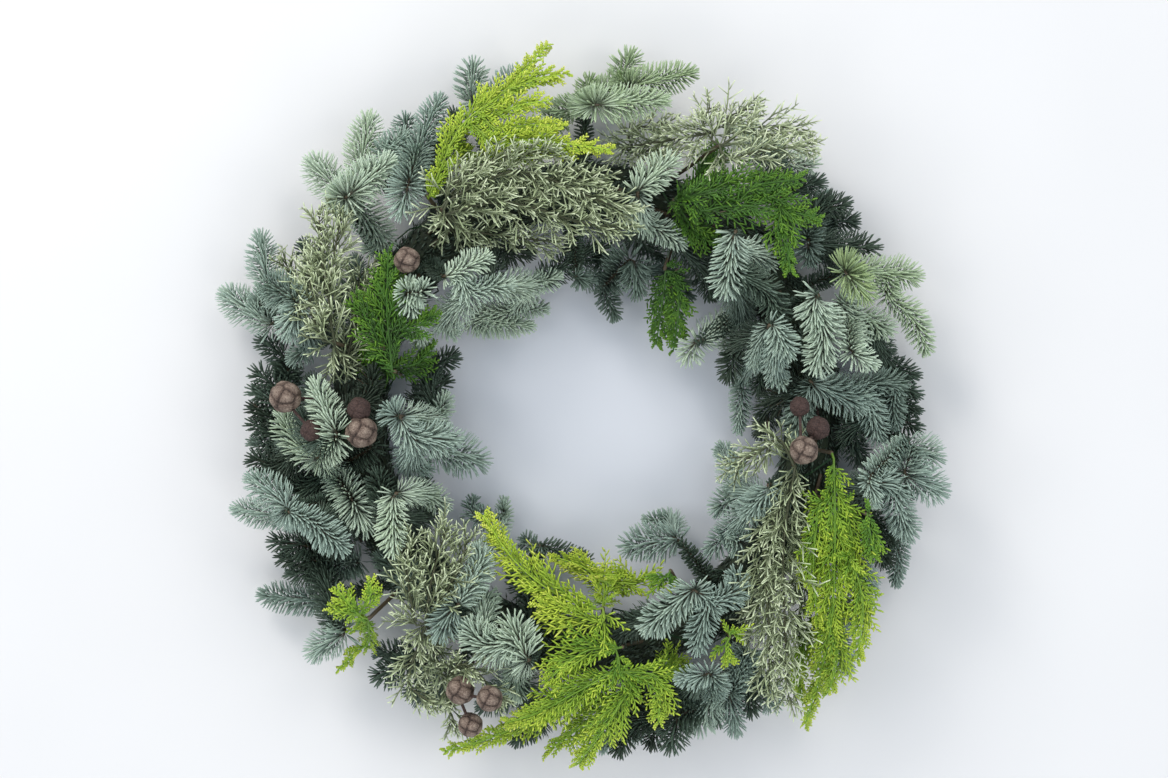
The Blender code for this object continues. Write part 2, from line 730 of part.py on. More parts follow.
def tube_faces(rows, sides, tips):
    """The faces of a tube. Each square is split so that no edge joins two tips."""
    faces = []
    for i in range(rows - 1):
        for j in range(sides):
            a, b = i * sides + j, i * sides + (j + 1) % sides
            c, d = b + sides, a + sides
            if tips[i, j] or tips[i + 1, (j + 1) % sides]:
                faces += [(a, d, b), (b, d, c)]
            else:
                faces += [(a, c, b), (a, d, c)]
    return faces


def closed_tube(path, radii, sides, tips=None, tip_points=None, apex=None):
    """A tube with closed ends. Its tips are drawn out to the tip points, and its end to the apex."""
    ahead, side, up = frames(path)
    rows = len(path)
    angles = np.arange(sides) * 2 * math.pi / sides
    ring = np.cos(angles)[:, None] * side[:, None] + np.sin(angles)[:, None] * up[:, None]
    points = path[:, None] + ring * np.broadcast_to(radii, rows)[:, None, None]
    if tips is None:
        tips = np.zeros((rows, sides), bool)
    else:
        points = tip_points
    faces = tube_faces(rows, sides, tips)
    top = (rows - 1) * sides
    foot_index, apex_index = rows * sides, rows * sides + 1
    faces += [(foot_index, j, (j + 1) % sides) for j in range(sides)]
    faces += [(apex_index, top + (j + 1) % sides, top + j) for j in range(sides)]
    foot = path[0] - ahead[0] * 0.5
    if apex is None:
        apex = path[-1] + ahead[-1] * 0.5
    return np.vstack([points.reshape(-1, 3), foot, apex]), faces


def mesh_object(name, points, faces, collection):
    """An object from points in the layout's millimetres, placed with the outline's middle at the origin."""
    mesh = bpy.data.meshes.new(name)
    moved = (np.asarray(points) - OUTLINE_MIDDLE) * MM
    mesh.from_pydata([tuple(p) for p in moved], [], faces)
    made = bpy.data.objects.new(name, mesh)
    collection.objects.link(made)
    return made


def needle_free_length(roots, directions, lengths, own, others):
    """How far each needle may reach before it is half-way to another twig, the ring or the table."""
    shares = np.linspace(0.15, 1.0, 14)
    allowed = np.zeros(len(roots))
    open_so_far = np.ones(len(roots), bool)
    for share in shares:
        points = roots + directions * (lengths * share)[:, None]
        to_own = distances(points, own[:-1], own[1:]).min(1) - 1.6
        to_others = others.gaps(points)
        free = to_others - to_own >= NEEDLE_GAP
        free &= ring_gap(points) >= WIRE_LIFT + WIRE_RADIUS + NEEDLE_GAP
        free &= points[:, 2] >= FLOOR_GAP
        open_so_far &= free
        allowed = np.where(open_so_far, share, allowed)
    return allowed * lengths


def shoot_mesh(axis, start, width, kind, others, random):
    """A shoot's tube from the stem to its tip, with its needles drawn out of it."""
    path = np.vstack([start + random.uniform(-0.5, 0.5, 3), axis[1:]])
    rows, sides = len(path), 4
    ahead, side, up = frames(path)
    turn = np.radians(kind["twist"]) * np.arange(rows) + math.pi / 4
    angles = turn[:, None] + np.arange(sides) * math.pi / 2
    across = np.cos(angles)[..., None] * side[:, None]
    out = unit(across + kind["flat"] * np.sin(angles)[..., None] * up[:, None])
    along = np.linspace(0, 1, rows)
    radii = kind["core"] * (1 - 0.35 * along)
    points = path[:, None] + out * radii[:, None, None]
    row, column = np.meshgrid(np.arange(rows), np.arange(sides), indexing="ij")
    tips = (row + column) % 2 == 0
    drawn = tips & (row > 0) & (row < rows - 1)
    lean = np.radians(kind["lean"]) * (1 - 0.3 * along**3)
    direction = unit(
        np.cos(lean)[:, None, None] * ahead[:, None] + np.sin(lean)[:, None, None] * out
    )
    full = width / 2 / math.sin(math.radians(kind["lean"]))
    shape = full * (0.72 + 0.28 * np.sin(math.pi * np.clip(along * 0.9 + 0.1, 0, 1)))
    lengths = shape[:, None] * (1 + kind["uneven"] * random.uniform(-1, 1, (rows, sides)))
    roots = np.broadcast_to(path[:, None], points.shape)[drawn]
    free = needle_free_length(roots, direction[drawn], lengths[drawn], path, others)
    long_enough = free > 4.0
    reach = np.where(long_enough, free, 0.0)
    spikes = roots + direction[drawn] * reach[:, None]
    points[drawn] = np.where(long_enough[:, None], spikes, points[drawn])
    end_length = np.array([0.3 * width])
    end_free = needle_free_length(path[-1:], ahead[-1:], end_length, path, others)[0]
    apex = path[-1] + ahead[-1] * max(end_free, 1.0)
    return closed_tube(path, radii, sides, tips, points, apex)


def cone_mesh(centre, diameter):
    """A ball of twelve low, five-sided scales."""
    shell = bmesh.new()
    bmesh.ops.create_icosphere(shell, subdivisions=1, radius=0.94 * diameter / 2)
    shell.verts.ensure_lookup_table()
    faces = [[v.index for v in f.verts] for f in shell.faces]
    corners = np.array([tuple(v.co) for v in shell.verts])
    shell.free()
    points, scales = list(corners), []
    for face in faces:
        top = unit(corners[face].mean(0)) * diameter / 2
        points.append(top)
        scales += [(face[k], face[(k + 1) % 3], len(points) - 1) for k in range(3)]
    return np.array(points) + centre, scales


def ring_mesh():
    """The straw ring as one closed band."""
    angles = np.arange(RING_STEPS) * 2 * math.pi / RING_STEPS
    radius = RING_RADIUS + SECTION[:, 0]
    points = np.stack(
        [
            np.cos(angles)[:, None] * radius,
            np.sin(angles)[:, None] * radius,
            np.broadcast_to(SECTION[:, 1], (RING_STEPS, len(SECTION))),
        ],
        axis=2,
    )
    count = len(SECTION)
    faces = [
        (
            i * count + j,
            i * count + (j + 1) % count,
            (i + 1) % RING_STEPS * count + (j + 1) % count,
            (i + 1) % RING_STEPS * count + j,
        )
        for i in range(RING_STEPS)
        for j in range(count)
    ]
    return points.reshape(-1, 3), faces


def notch_box(angle):
    """A bar across the ring's back where the wire passes under it."""
    ahead = np.array((math.cos(angle), math.sin(angle), 0.0))
    side = np.array((-math.sin(angle), math.cos(angle), 0.0))
    corners = [
        ahead * (RING_RADIUS + along * 30.0) + side * across * NOTCH_WIDTH / 2 + (0.0, 0.0, height)
        for along in (-1, 1)
        for across in (-1, 1)
        for height in (-2.0, NOTCH_DEPTH)
    ]
    faces = [(0, 1, 3, 2), (4, 6, 7, 5), (0, 4, 5, 1), (2, 3, 7, 6), (0, 2, 6, 4), (1, 5, 7, 3)]
    return np.array(corners), faces


def shells_of(shell):
    """The faces of each closed shell in a mesh."""
    shells, seen = [], set()
    for start in shell.faces:
        if start in seen:
            continue
        found, waiting = [], [start]
        seen.add(start)
        while waiting:
            face = waiting.pop()
            found.append(face)
            edges = [edge for edge in face.edges if len(edge.link_faces) == 2]
            for other in (other for edge in edges for other in edge.link_faces):
                if other not in seen:
                    seen.add(other)
                    waiting.append(other)
        shells.append(found)
    return shells


def cleaned(mesh):
    """Drops loose scraps and hollows that fusing sealed. True if the shell left touches itself nowhere."""
    shell = bmesh.new()
    shell.from_mesh(mesh)
    shells = shells_of(shell)
    largest = max(shells, key=len)
    scraps = [face for found in shells if found is not largest for face in found]
    bmesh.ops.delete(shell, geom=scraps, context="FACES")
    shell.to_mesh(mesh)
    bmesh.ops.triangulate(shell, faces=shell.faces)
    bmesh.ops.remove_doubles(shell, verts=shell.verts, dist=TOUCH * MM)
    clean = all(len(edge.link_faces) == 2 for edge in shell.edges) and len(shells_of(shell)) == 1
    shell.free()
    return clean


def boolean(target, pieces, operation):
    """Joins or cuts the pieces with one Boolean on their collection, applies it and removes them."""
    modifier = target.modifiers.new("join", "BOOLEAN")
    modifier.operation = operation
    modifier.operand_type = "COLLECTION"
    modifier.collection = pieces
    modifier.solver = "MANIFOLD"
    graph = bpy.context.evaluated_depsgraph_get()
    joined = bpy.data.meshes.new_from_object(target.evaluated_get(graph))
    target.modifiers.clear()
    target.data = joined
    for piece in list(pieces.objects):
        bpy.data.objects.remove(piece)
    return cleaned(joined)


def material(name, colour, roughness, metallic):
    """A plain surface of one colour."""
    made = bpy.data.materials.new(name)
    made.use_nodes = True
    shader = made.node_tree.nodes["Principled BSDF"]
    shader.inputs["Base Color"].default_value = (*colour, 1.0)
    shader.inputs["Roughness"].default_value = roughness
    shader.inputs["Metallic"].default_value = metallic
    return made


def finish(made, colour, roughness, metallic=0.0):
    """Gives an object its own surface."""
    made.data.materials.clear()
    made.data.materials.append(material(made.name + "_surface", colour, roughness, metallic))


# Building.


def build_ring(scene, pieces):
    """The wrapped ring, notched across its back for the wire."""
    ring = mesh_object("wrapped_ring", *ring_mesh(), scene)
    for index, angle in enumerate(notch_angles()):
        mesh_object(f"notch_{index}", *notch_box(angle), pieces)
    boolean(ring, pieces, "DIFFERENCE")
    finish(ring, WRAP_GREEN, 0.85)


def bed_line(angle, radius):
    """Foot and tip of a bed shoot: clockwise, fanned outwards outside the ring's middle, inwards inside."""
    fan = BED_FAN * np.clip((radius - RING_RADIUS) / BED_FAN_WIDTH, -1, 1)
    outward = np.array((math.cos(angle), math.sin(angle)))
    clockwise = np.array((math.sin(angle), -math.cos(angle)))
    foot = radius * outward
    return foot, foot + BED_LENGTH * (math.cos(fan) * clockwise + math.sin(fan) * outward)


def fills_gap(foot, tip, twigs):
    """True if a shoot from foot to tip would mostly cover what the twigs leave bare, seen from above."""
    points = np.linspace(foot, tip, BED_POINTS)[1:]
    flat = np.column_stack([points, np.zeros(len(points))])
    low, high = np.array(HOLE[0]) - HOLE_MARGIN, np.array(HOLE[1]) + HOLE_MARGIN
    in_hole = ((points > low) & (points < high)).all(1)
    starts = np.vstack([axis[:-1] for axis in twigs]) * (1, 1, 0)
    ends = np.vstack([axis[1:] for axis in twigs]) * (1, 1, 0)
    return not in_hole.any() and distances(flat, starts, ends).min(1).mean() > BED_OPEN


def web(start, foot, ahead):
    """Points spread over the triangle of three places, where the first needles reach across the bend."""
    steps = [(i, j) for i in range(WEB_STEPS + 1) for j in range(WEB_STEPS + 1 - i)]
    return np.array([foot + (i * (start - foot) + j * (ahead - foot)) / WEB_STEPS for i, j in steps])


def hole_distance(points):
    """How far points lie from the opening's box, seen from above."""
    outside = np.maximum(np.array(HOLE[0]) - points[..., :2], points[..., :2] - np.array(HOLE[1]))
    return np.linalg.norm(np.maximum(outside, 0.0), axis=-1)


def spans_hole(points, outline):
    """True if a straight line between the points and the outline's comes nearer to the opening than
    its ends do, so that a plain hull round both would reach into it."""
    shares = np.linspace(0, 1, SPAN_POINTS)[:, None, None, None]
    lines = (1 - shares) * points[None, :, None] + shares * outline[None, None]
    gaps = hole_distance(lines)
    allowed = np.minimum(np.minimum(gaps[0], gaps[-1]), SPAN_MARGIN)
    return bool((gaps.min(0) < allowed - 1.0).any())


def bed_link(line, axes, outlines, placed):
    """The nearest clear place on a fir shoot to grow from, as (owner, place), or nothing."""
    foot, ahead = line[1], unit(line[2] - line[1])
    found = []
    for owner, (name, kind, _, _) in enumerate(SPRAYS):
        if kind is not FIR or spans_hole(line[1:], outlines[owner]):
            continue
        for axis in axes[name]:
            if len(axis) < 4:
                continue
            places = close_points(axis[1:-1], 5.0)[1:-1]
            links = foot - places
            lengths = np.linalg.norm(links, axis=1)
            keep = (lengths < LONGEST_LINK) & (lengths > SHORTEST_LINK)
            keep &= links @ ahead > FORWARD_SHARE * lengths
            found += [(length, owner, *place) for length, place in zip(lengths[keep], places[keep])]
    for _, owner, *place in sorted(found)[:LINK_TRIES]:
        place = np.array(place)
        others = placed.near(np.vstack([place, line[1:3]]), 10.0, owner)
        if link_gap(place, foot, others) < STEM_GAP:
            continue
        if others.gaps(web(place, foot, line[2])).min() >= WEB_GAP:
            return owner, place
    return None


def grow_bed(axes, placed):
    """Short fir shoots in the gaps, each grown from the nearest spray, as {owner: [(axis, start), ...]}."""
    bed = {owner: [] for owner in range(len(SPRAYS))}
    twigs = [axis for found in axes.values() for axis in found]
    outlines = [np.vstack(axes[name]) for name, _, _, _ in SPRAYS]
    for radius in BED_RADII:
        count = int(2 * math.pi * radius / BED_STEP)
        for angle in np.arange(count) * 2 * math.pi / count:
            foot, tip = bed_line(angle, radius)
            if not fills_gap(foot, tip, twigs):
                continue
            axis = lay(shoot_axis(1, BED_WIDTH, (foot, tip), BED), BED["core"], BED_OWNER, placed)
            over = axis[:, 2] - np.maximum(body_height(np.hypot(axis[:, 0], axis[:, 1])), OVER_RING_HEIGHT)
            if over.max() > BED_OVER:
                continue
            found = bed_link(axis, axes, outlines, placed)
            if found is None:
                continue
            owner, place = found
            index = len(SPRAYS[owner][3]) + len(bed[owner])
            placed.add([place, *axis[1:]], BED["core"], owner, index)
            bed[owner].append((axis, place))
            outlines[owner] = np.vstack([outlines[owner], axis[1:]])
            twigs.append(axis)
    return bed


def build_wire(scene, placed):
    """The binding wire, wound round ring and stems."""
    wire = wire_path()
    placed.add(wire, WIRE_RADIUS, WIRE_OWNER)
    binding = mesh_object("binding_wire", *closed_tube(wire, WIRE_RADIUS, WIRE_SIDES), scene)
    finish(binding, WIRE_GREEN, 0.4, 1.0)


def lay_cones(placed):
    """The centres of the cones of each bunch, raised until they clear the shoots below."""
    bunches = []
    for index, (name, cones) in enumerate(CONE_BUNCHES):
        owner = len(SPRAYS) + index
        centres = []
        for x, y, diameter in cones:
            height = float(body_height(np.array(math.hypot(x, y)))) + CONE_RISE
            centre = np.array((x, y, height))
            others = placed.near(centre[None], 60.0, owner)
            while others.gaps(centre[None])[0] - diameter / 2 < STEM_GAP:
                centre = centre + (0.0, 0.0, 1.0)
            centres.append(centre)
        for centre, (_, _, diameter) in zip(centres, cones):
            placed.add([centre, centre + (0.0, 0.0, 0.01)], diameter / 2, owner)
        bunches.append(centres)
    return bunches


def route_sprays(axes, placed):
    """The start of each shoot and the stem of each spray."""
    routes = []
    for owner, (name, kind, _, _) in enumerate(SPRAYS):
        feet = [axis[1] for axis in axes[name]]
        fork = fork_place(feet, owner, placed)
        starts = starts_of(axes[name], fork, kind, owner, placed)
        stem = stem_path(fork, owner, placed)
        placed.add(stem, STEM_RADIUS, owner)
        routes.append((starts, stem))
    return routes


def route_cones(bunches, placed):
    """The stalks of each bunch's cones, which meet in one stem."""
    routes = []
    for index, centres in enumerate(bunches):
        owner = len(SPRAYS) + index
        fork = fork_place(centres, owner, placed)
        stalks = [np.array([fork, centre]) for centre in centres]
        for stalk in stalks:
            placed.add(stalk, STALK_RADIUS, owner)
        stem = stem_path(fork, owner, placed)
        placed.add(stem, STEM_RADIUS, owner)
        routes.append((stalks, stem))
    return routes


def build_spray(owner, axes, route, bed, placed, scene, pieces):
    """One spray fused from its stem and shoots, drawn again until it touches itself nowhere."""
    name, kind, colour, shoots = SPRAYS[owner]
    starts, stem = route
    lines = [(axis, start, shoot[1], kind) for axis, start, shoot in zip(axes, starts, shoots)]
    lines += [(axis, start, BED_WIDTH, BED) for axis, start in bed]
    for draw in range(FIRST_DRAWS.get(name, 0), MOST_DRAWS):
        random = np.random.default_rng((SEED, owner, draw))
        made = mesh_object(name, *closed_tube(stem[::-1], STEM_RADIUS, 4), scene)
        for index, (axis, start, width, growth) in enumerate(lines):
            others = placed.near(axis, width + 12.0, owner, index)
            points, faces = shoot_mesh(axis, start, width, growth, others, random)
            mesh_object(f"{name}_{index}", points, faces, pieces)
        if boolean(made, pieces, "UNION") or draw == MOST_DRAWS - 1:
            break
        bpy.data.objects.remove(made)
    finish(made, colour, 0.6)


def build_cones(index, centres, route, scene, pieces):
    """One bunch of cones, fused with its stalks and stem."""
    name, cones = CONE_BUNCHES[index]
    stalks, stem = route
    made = mesh_object(name, *closed_tube(stem[::-1], STEM_RADIUS, 4), scene)
    for number, (stalk, centre, cone) in enumerate(zip(stalks, centres, cones)):
        mesh_object(f"{name}_{number}", *cone_mesh(centre, cone[2]), pieces)
        mesh_object(f"{name}_stalk_{number}", *closed_tube(stalk, STALK_RADIUS, 4), pieces)
    boolean(made, pieces, "UNION")
    finish(made, CONE_BROWN, 0.8)


def main():
    """Clears the scene and builds the ring, the wire, the sprays and the cones."""
    for old in list(bpy.data.objects):
        bpy.data.objects.remove(old)
    scene = bpy.context.scene.collection
    pieces = bpy.data.collections.new("pieces")
    scene.children.link(pieces)
    placed = Placed()
    build_ring(scene, pieces)
    build_wire(scene, placed)
    axes = lay_all(placed)
    bunches = lay_cones(placed)
    spray_routes = route_sprays(axes, placed)
    cone_routes = route_cones(bunches, placed)
    bed = grow_bed(axes, placed)
    for owner, route in enumerate(spray_routes):
        build_spray(owner, axes[SPRAYS[owner][0]], route, bed[owner], placed, scene, pieces)
    for index, route in enumerate(cone_routes):
        build_cones(index, bunches[index], route, scene, pieces)
    bpy.data.collections.remove(pieces)


main()
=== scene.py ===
# %% [markdown]
# # An evergreen wreath, lying on its back
#
# The real wreath is made by laying short sprays of noble fir, flat cypress and thread-like cypress
# clockwise on a wrapped ring, and winding a wire over their stems. Small round cones are tucked in
# between. The CAD frame holds each spray as one plain solid with few needles. This script takes the
# same layout and grows the full foliage on it: one fine mesh for each spray, in the same place.
#
# Everything is worked out in millimetres, in the layout's own frame, and turned into metres only
# when a mesh is made.

# %% Load the frame
import math

import bpy
import numpy as np
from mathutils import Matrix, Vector


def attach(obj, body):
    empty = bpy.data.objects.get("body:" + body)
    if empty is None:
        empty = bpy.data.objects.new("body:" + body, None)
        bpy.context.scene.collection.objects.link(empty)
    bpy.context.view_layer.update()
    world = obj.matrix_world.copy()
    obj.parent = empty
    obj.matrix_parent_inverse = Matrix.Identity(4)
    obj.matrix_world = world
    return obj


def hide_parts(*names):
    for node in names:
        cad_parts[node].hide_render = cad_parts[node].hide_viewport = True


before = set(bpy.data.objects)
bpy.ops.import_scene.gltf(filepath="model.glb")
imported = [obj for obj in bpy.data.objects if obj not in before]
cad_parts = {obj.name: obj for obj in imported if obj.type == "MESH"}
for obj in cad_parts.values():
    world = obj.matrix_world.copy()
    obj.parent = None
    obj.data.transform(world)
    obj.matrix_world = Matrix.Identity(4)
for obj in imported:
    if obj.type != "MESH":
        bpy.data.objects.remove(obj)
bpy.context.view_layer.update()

# %% [markdown]
# ## The layout
#
# A florist judges where each shoot goes by eye. Here a table gives for each shoot its level in the
# bundle, its width over the needle tips, and the places from its foot to its tip. The shoots of one
# spray share a tint. The places are the same as those behind the CAD solids, so the fine shoots land
# on the plain ones.

# %% The sprays
# Kinds of foliage. finish: which of the foliage finishes it gets; core: the radius that keeps twigs
# apart; step: the distance between the points of a twig's axis.
FIR = dict(finish="fir", core=2.0, step=12.5)
FAN = dict(finish="fan", core=1.5, step=18.0)
THREAD = dict(finish="thread", core=1.3, step=18.0)
BED = dict(core=2.0, step=15.0)

# Sprays: name, kind, finish slot, tint, shoots of (level, width, places from foot to tip)
SPRAYS = (
    ("fir_left_fork", FIR, "blue", "blue", (
        (3, 26, (-238, -82), (-287, -46)), (2, 24, (-243, -88), (-309, -78)),
        (3, 26, (-241, -78), (-196, -113)))),
    ("fir_lower_left_pair", FIR, "blue", "blue", (
        (1, 24, (-212, -163), (-290, -156)), (2, 32, (-198, -178), (-242, -208)))),
    ("fir_left_tips", FIR, "blue", "blue", (
        (2, 30, (-262, 72), (-320, 112)), (2, 27, (-272, 98), (-284, 164)),
        (3, 32, (-238, 110), (-252, 62)), (2, 24, (-228, 72), (-256, 45)))),
    ("fir_upper_left_a", FIR, "blue", "pale", (
        (2, 30, (-205, 187), (-242, 227)), (2, 30, (-198, 188), (-187, 267)),
        (3, 32, (-212, 178), (-158, 221)), (2, 26, (-200, 190), (-208, 165)),
        (1, 30, (-165, 165), (-195, 140)))),
    ("fir_upper_left_b", FIR, "blue", "blue", (
        (1, 22, (-155, 232), (-159, 269)), (2, 26, (-152, 212), (-124, 281)),
        (2, 26, (-185, 215), (-150, 249)), (3, 34, (-146, 208), (-156, 163)))),
    ("fir_top_left_pair", FIR, "blue", "blue", (
        (1, 28, (-100, 262), (-99, 317)), (1, 26, (-95, 268), (-53, 307)))),
    ("fir_top_hand", FIR, "light", "green", (
        (1, 22, (-5, 262), (6, 303)), (1, 30, (22, 278), (43, 325)), (2, 26, (25, 282), (98, 300)),
        (3, 28, (-6, 262), (73, 268)), (1, 24, (-50, 262), (-12, 258)))),
    ("fir_top_fork", FIR, "blue", "pale", (
        (3, 28, (32, 182), (78, 220)), (2, 26, (36, 175), (88, 146)))),
    ("fir_top_right_edge", FIR, "light", "pale", (
        (1, 26, (185, 222), (122, 256)), (1, 30, (172, 216), (206, 224)))),
    ("fir_upper_right_low", FIR, "blue", "blue", (
        (1, 30, (190, 195), (215, 180)), (1, 30, (200, 170), (223, 155)),
        (2, 28, (190, 165), (190, 125)))),
    ("fir_upper_right_fans", FIR, "light", "pale", (
        (3, 32, (125, 166), (116, 98)), (2, 24, (150, 150), (150, 118)))),
    ("fir_right_hand", FIR, "light", "green", (
        (2, 30, (212, 128), (292, 122)), (3, 30, (208, 132), (241, 97)),
        (2, 22, (248, 110), (280, 88), (297, 52)))),
    ("fir_right_edge", FIR, "blue", "pale", (
        (2, 26, (228, 92), (266, 72)), (2, 32, (208, 112), (240, 60)), (3, 22, (212, 62), (246, 42)))),
    ("fir_right_crest", FIR, "light", "pale", (
        (3, 36, (190, 112), (192, 70)), (3, 34, (204, 84), (189, 34)))),
    ("fir_right_inner", FIR, "blue", "blue", (
        (3, 26, (150, 92), (173, 48)), (2, 22, (138, 62), (160, 40)), (2, 24, (156, 46), (174, 24)),
        (1, 20, (140, 50), (133, -18)))),
    ("fir_right_middle", FIR, "blue", "blue", (
        (2, 32, (178, 36), (248, 5)), (2, 22, (262, 42), (266, -15)), (2, 28, (235, 30), (255, -25)))),
    ("fir_right_lower_hand", FIR, "blue", "blue", (
        (2, 30, (262, -15), (307, -38)), (3, 34, (258, -42), (308, -66)), (3, 20, (236, -36), (243, -79)),
        (3, 28, (250, -42), (275, -106)), (1, 20, (275, -85), (272, -152)),
        (1, 30, (225, -50), (235, -95)))),
    ("fir_lower_right_long", FIR, "blue", "blue", (
        (3, 24, (235, -112), (228, -176)), (1, 26, (216, -168), (222, -196), (230, -228)))),
    ("fir_bottom_right", FIR, "blue", "blue", (
        (1, 26, (145, -225), (169, -259)), (2, 26, (122, -222), (130, -277)),
        (2, 34, (116, -226), (90, -273)), (3, 24, (118, -213), (72, -218)),
        (2, 28, (142, -188), (125, -228)))),
    ("fir_bottom_crest", FIR, "blue", "blue", (
        (3, 32, (102, -133), (42, -181)), (3, 26, (106, -138), (91, -199)),
        (3, 24, (134, -150), (118, -124)))),
    ("fir_inner_right_low", FIR, "blue", "blue", (
        (3, 26, (165, -48), (130, -85)), (2, 28, (134, -86), (101, -119)),
        (2, 30, (142, -59), (106, -83)), (2, 24, (140, -110), (120, -100)),
        (1, 22, (132, -30), (110, -33)))),
    ("fir_inner_bottom_right", FIR, "blue", "blue", (
        (2, 30, (92, -102), (27, -113)), (1, 18, (88, -92), (47, -90)))),
    ("fir_bottom_tips", FIR, "blue", "blue", (
        (1, 24, (52, -254), (42, -289)), (1, 26, (20, -268), (12, -296)))),
    ("fir_bottom_left_crest", FIR, "light", "pale", (
        (3, 38, (-45, -212), (-66, -160)), (3, 36, (-75, -200), (-105, -165)),
        (2, 26, (-95, -145), (-75, -165)), (2, 28, (-60, -200), (-58, -245)))),
    ("fir_inner_bottom_left", FIR, "blue", "blue", (
        (3, 32, (-105, -148), (-128, -189)), (3, 24, (-85, -135), (-95, -102)),
        (1, 20, (-75, -106), (-71, -67)), (1, 18, (-98, -100), (-99, -66)))),
    ("fir_inner_bottom", FIR, "dark", "dark", (
        (1, 18, (-30, -122), (-60, -104)), (1, 18, (12, -132), (-18, -122)))),
    ("fir_bottom_left_edge", FIR, "dark", "dark", (
        (1, 26, (-110, -245), (-162, -238)), (1, 26, (-130, -215), (-188, -205)))),
    ("fir_inner_left_low", FIR, "light", "pale", (
        (3, 26, (-162, -54), (-160, -118)), (2, 26, (-150, -60), (-115, -78)))),
    ("fir_left_crest", FIR, "light", "pale", (
        (2, 30, (-215, -40), (-245, -25), (-263, 9)), (3, 32, (-204, -26), (-229, 36)),
        (1, 28, (-205, -45), (-240, -45)), (2, 34, (-205, -58), (-180, -100)))),
    ("fir_inner_left_hand", FIR, "blue", "blue", (
        (3, 30, (-150, -6), (-173, 16)), (2, 24, (-135, -12), (-118, 24)),
        (2, 36, (-145, -20), (-83, -41)), (3, 28, (-160, -15), (-103, -18)),
        (2, 28, (-165, -35), (-130, -45)))),
    ("fir_left_dark", FIR, "dark", "dark", (
        (1, 30, (-240, -92), (-222, -160)), (1, 34, (-262, -45), (-262, 58)),
        (1, 26, (-190, -125), (-215, -125)))),
    ("fir_inner_upper_left", FIR, "light", "pale", (
        (3, 22, (-130, 112), (-77, 138)), (3, 24, (-112, 104), (-58, 114)),
        (2, 24, (-58, 112), (-17, 124)), (1, 20, (-75, 96), (-30, 95)), (1, 24, (-112, 86), (-42, 80)),
        (2, 28, (-130, 92), (-108, 68)))),
    ("fir_inner_top", FIR, "dark", "dark", (
        (2, 20, (-12, 128), (0, 112)), (1, 20, (8, 130), (28, 82)), (2, 30, (35, 150), (48, 100)),
        (1, 26, (70, 132), (95, 100)))),
    ("fir_inner_upper_right", FIR, "light", "pale", (
        (2, 26, (100, 78), (84, 45)), (1, 30, (120, 95), (135, 50)))),
    ("fir_left_heart", FIR, "light", "pale", (
        (3, 28, (-140, 100), (-160, 115)), (3, 24, (-142, 98), (-130, 118)),
        (3, 26, (-148, 100), (-142, 82)), (1, 18, (-138, 60), (-135, 25)))),
    ("cypress_top_left", FAN, "lime", "gold", (
        (3, 22, (-140, 165), (-125, 200), (-105, 245), (-70, 275), (-28, 327)),
        (3, 16, (-92, 255), (-82, 284)), (3, 20, (-80, 268), (-45, 286), (-10, 292)),
        (3, 18, (-100, 246), (-60, 262), (-25, 268)), (3, 20, (-95, 240), (-40, 246), (-12, 244)),
        (3, 22, (-98, 234), (-40, 232), (27, 224)), (2, 20, (-110, 222), (-65, 221), (-20, 228)))),
    ("cypress_top_right", FAN, "leaf", "leaf", (
        (2, 30, (62, 178), (100, 205), (118, 242)),
        (3, 30, (64, 178), (110, 192), (152, 197), (190, 203)),
        (3, 28, (80, 170), (130, 178), (204, 167)), (3, 26, (130, 180), (160, 183), (172, 115)),
        (2, 24, (72, 165), (120, 150)))),
    ("cypress_right", FAN, "lime", "lime", (
        (3, 28, (206, -12), (208, -100), (205, -180), (188, -275)),
        (3, 26, (200, -50), (190, -110), (194, -180)), (3, 24, (212, -50), (224, -110), (222, -150)),
        (3, 24, (212, -100), (231, -150), (229, -212)), (3, 24, (206, -150), (213, -200), (205, -242)),
        (2, 22, (197, -165), (184, -215), (188, -252)))),
    ("cypress_bottom_arm", FAN, "lime", "gold", (
        (3, 30, (30, -165), (-20, -150), (-60, -120), (-92, -75)),
        (3, 32, (35, -175), (-5, -166), (-48, -152)), (2, 26, (30, -160), (0, -130), (-35, -118)),
        (2, 26, (62, -150), (30, -136), (0, -134)))),
    ("cypress_bottom_fan", FAN, "lime", "lime", (
        (3, 32, (45, -192), (0, -194), (-40, -225)),
        (3, 32, (42, -200), (0, -224), (-40, -246), (-75, -258)),
        (2, 24, (25, -222), (-30, -252), (-80, -275), (-130, -292)),
        (3, 30, (46, -206), (22, -250), (-12, -300)), (2, 28, (35, -225), (0, -262), (-40, -292)),
        (3, 28, (52, -200), (62, -228), (60, -262)), (2, 24, (54, -196), (72, -205), (90, -224)))),
    ("cypress_left", FAN, "leaf", "leaf", (
        (3, 30, (-160, 20), (-166, 85), (-165, 147)), (3, 26, (-162, 40), (-180, 75), (-195, 110)),
        (2, 22, (-162, 28), (-182, 50), (-192, 80)), (3, 22, (-163, 60), (-145, 75), (-122, 92)),
        (2, 22, (-160, 30), (-146, 46), (-127, 66)))),
    ("cypress_lower_left", FAN, "lime", "lime", (
        (3, 18, (-172, -178), (-195, -160), (-212, -138)),
        (3, 16, (-180, -172), (-200, -164), (-220, -156)), (2, 14, (-178, -176), (-208, -183)),
        (3, 18, (-182, -168), (-180, -148), (-180, -130)),
        (2, 16, (-175, -185), (-198, -202), (-218, -222)))),
    ("cypress_inner_top", FAN, "leaf", "leaf", (
        (2, 24, (70, 146), (66, 100), (60, 57)), (2, 22, (73, 140), (80, 95), (75, 52)))),
    ("cypress_bottom_sprig", FAN, "lime", "lime", (
        (3, 16, (108, -170), (120, -178), (134, -183)), (3, 16, (110, -172), (116, -192), (122, -208)))),
    ("cypress_inner_bottom", FAN, "olive", "mid", (
        (3, 18, (92, -126), (72, -131), (50, -139)),)),
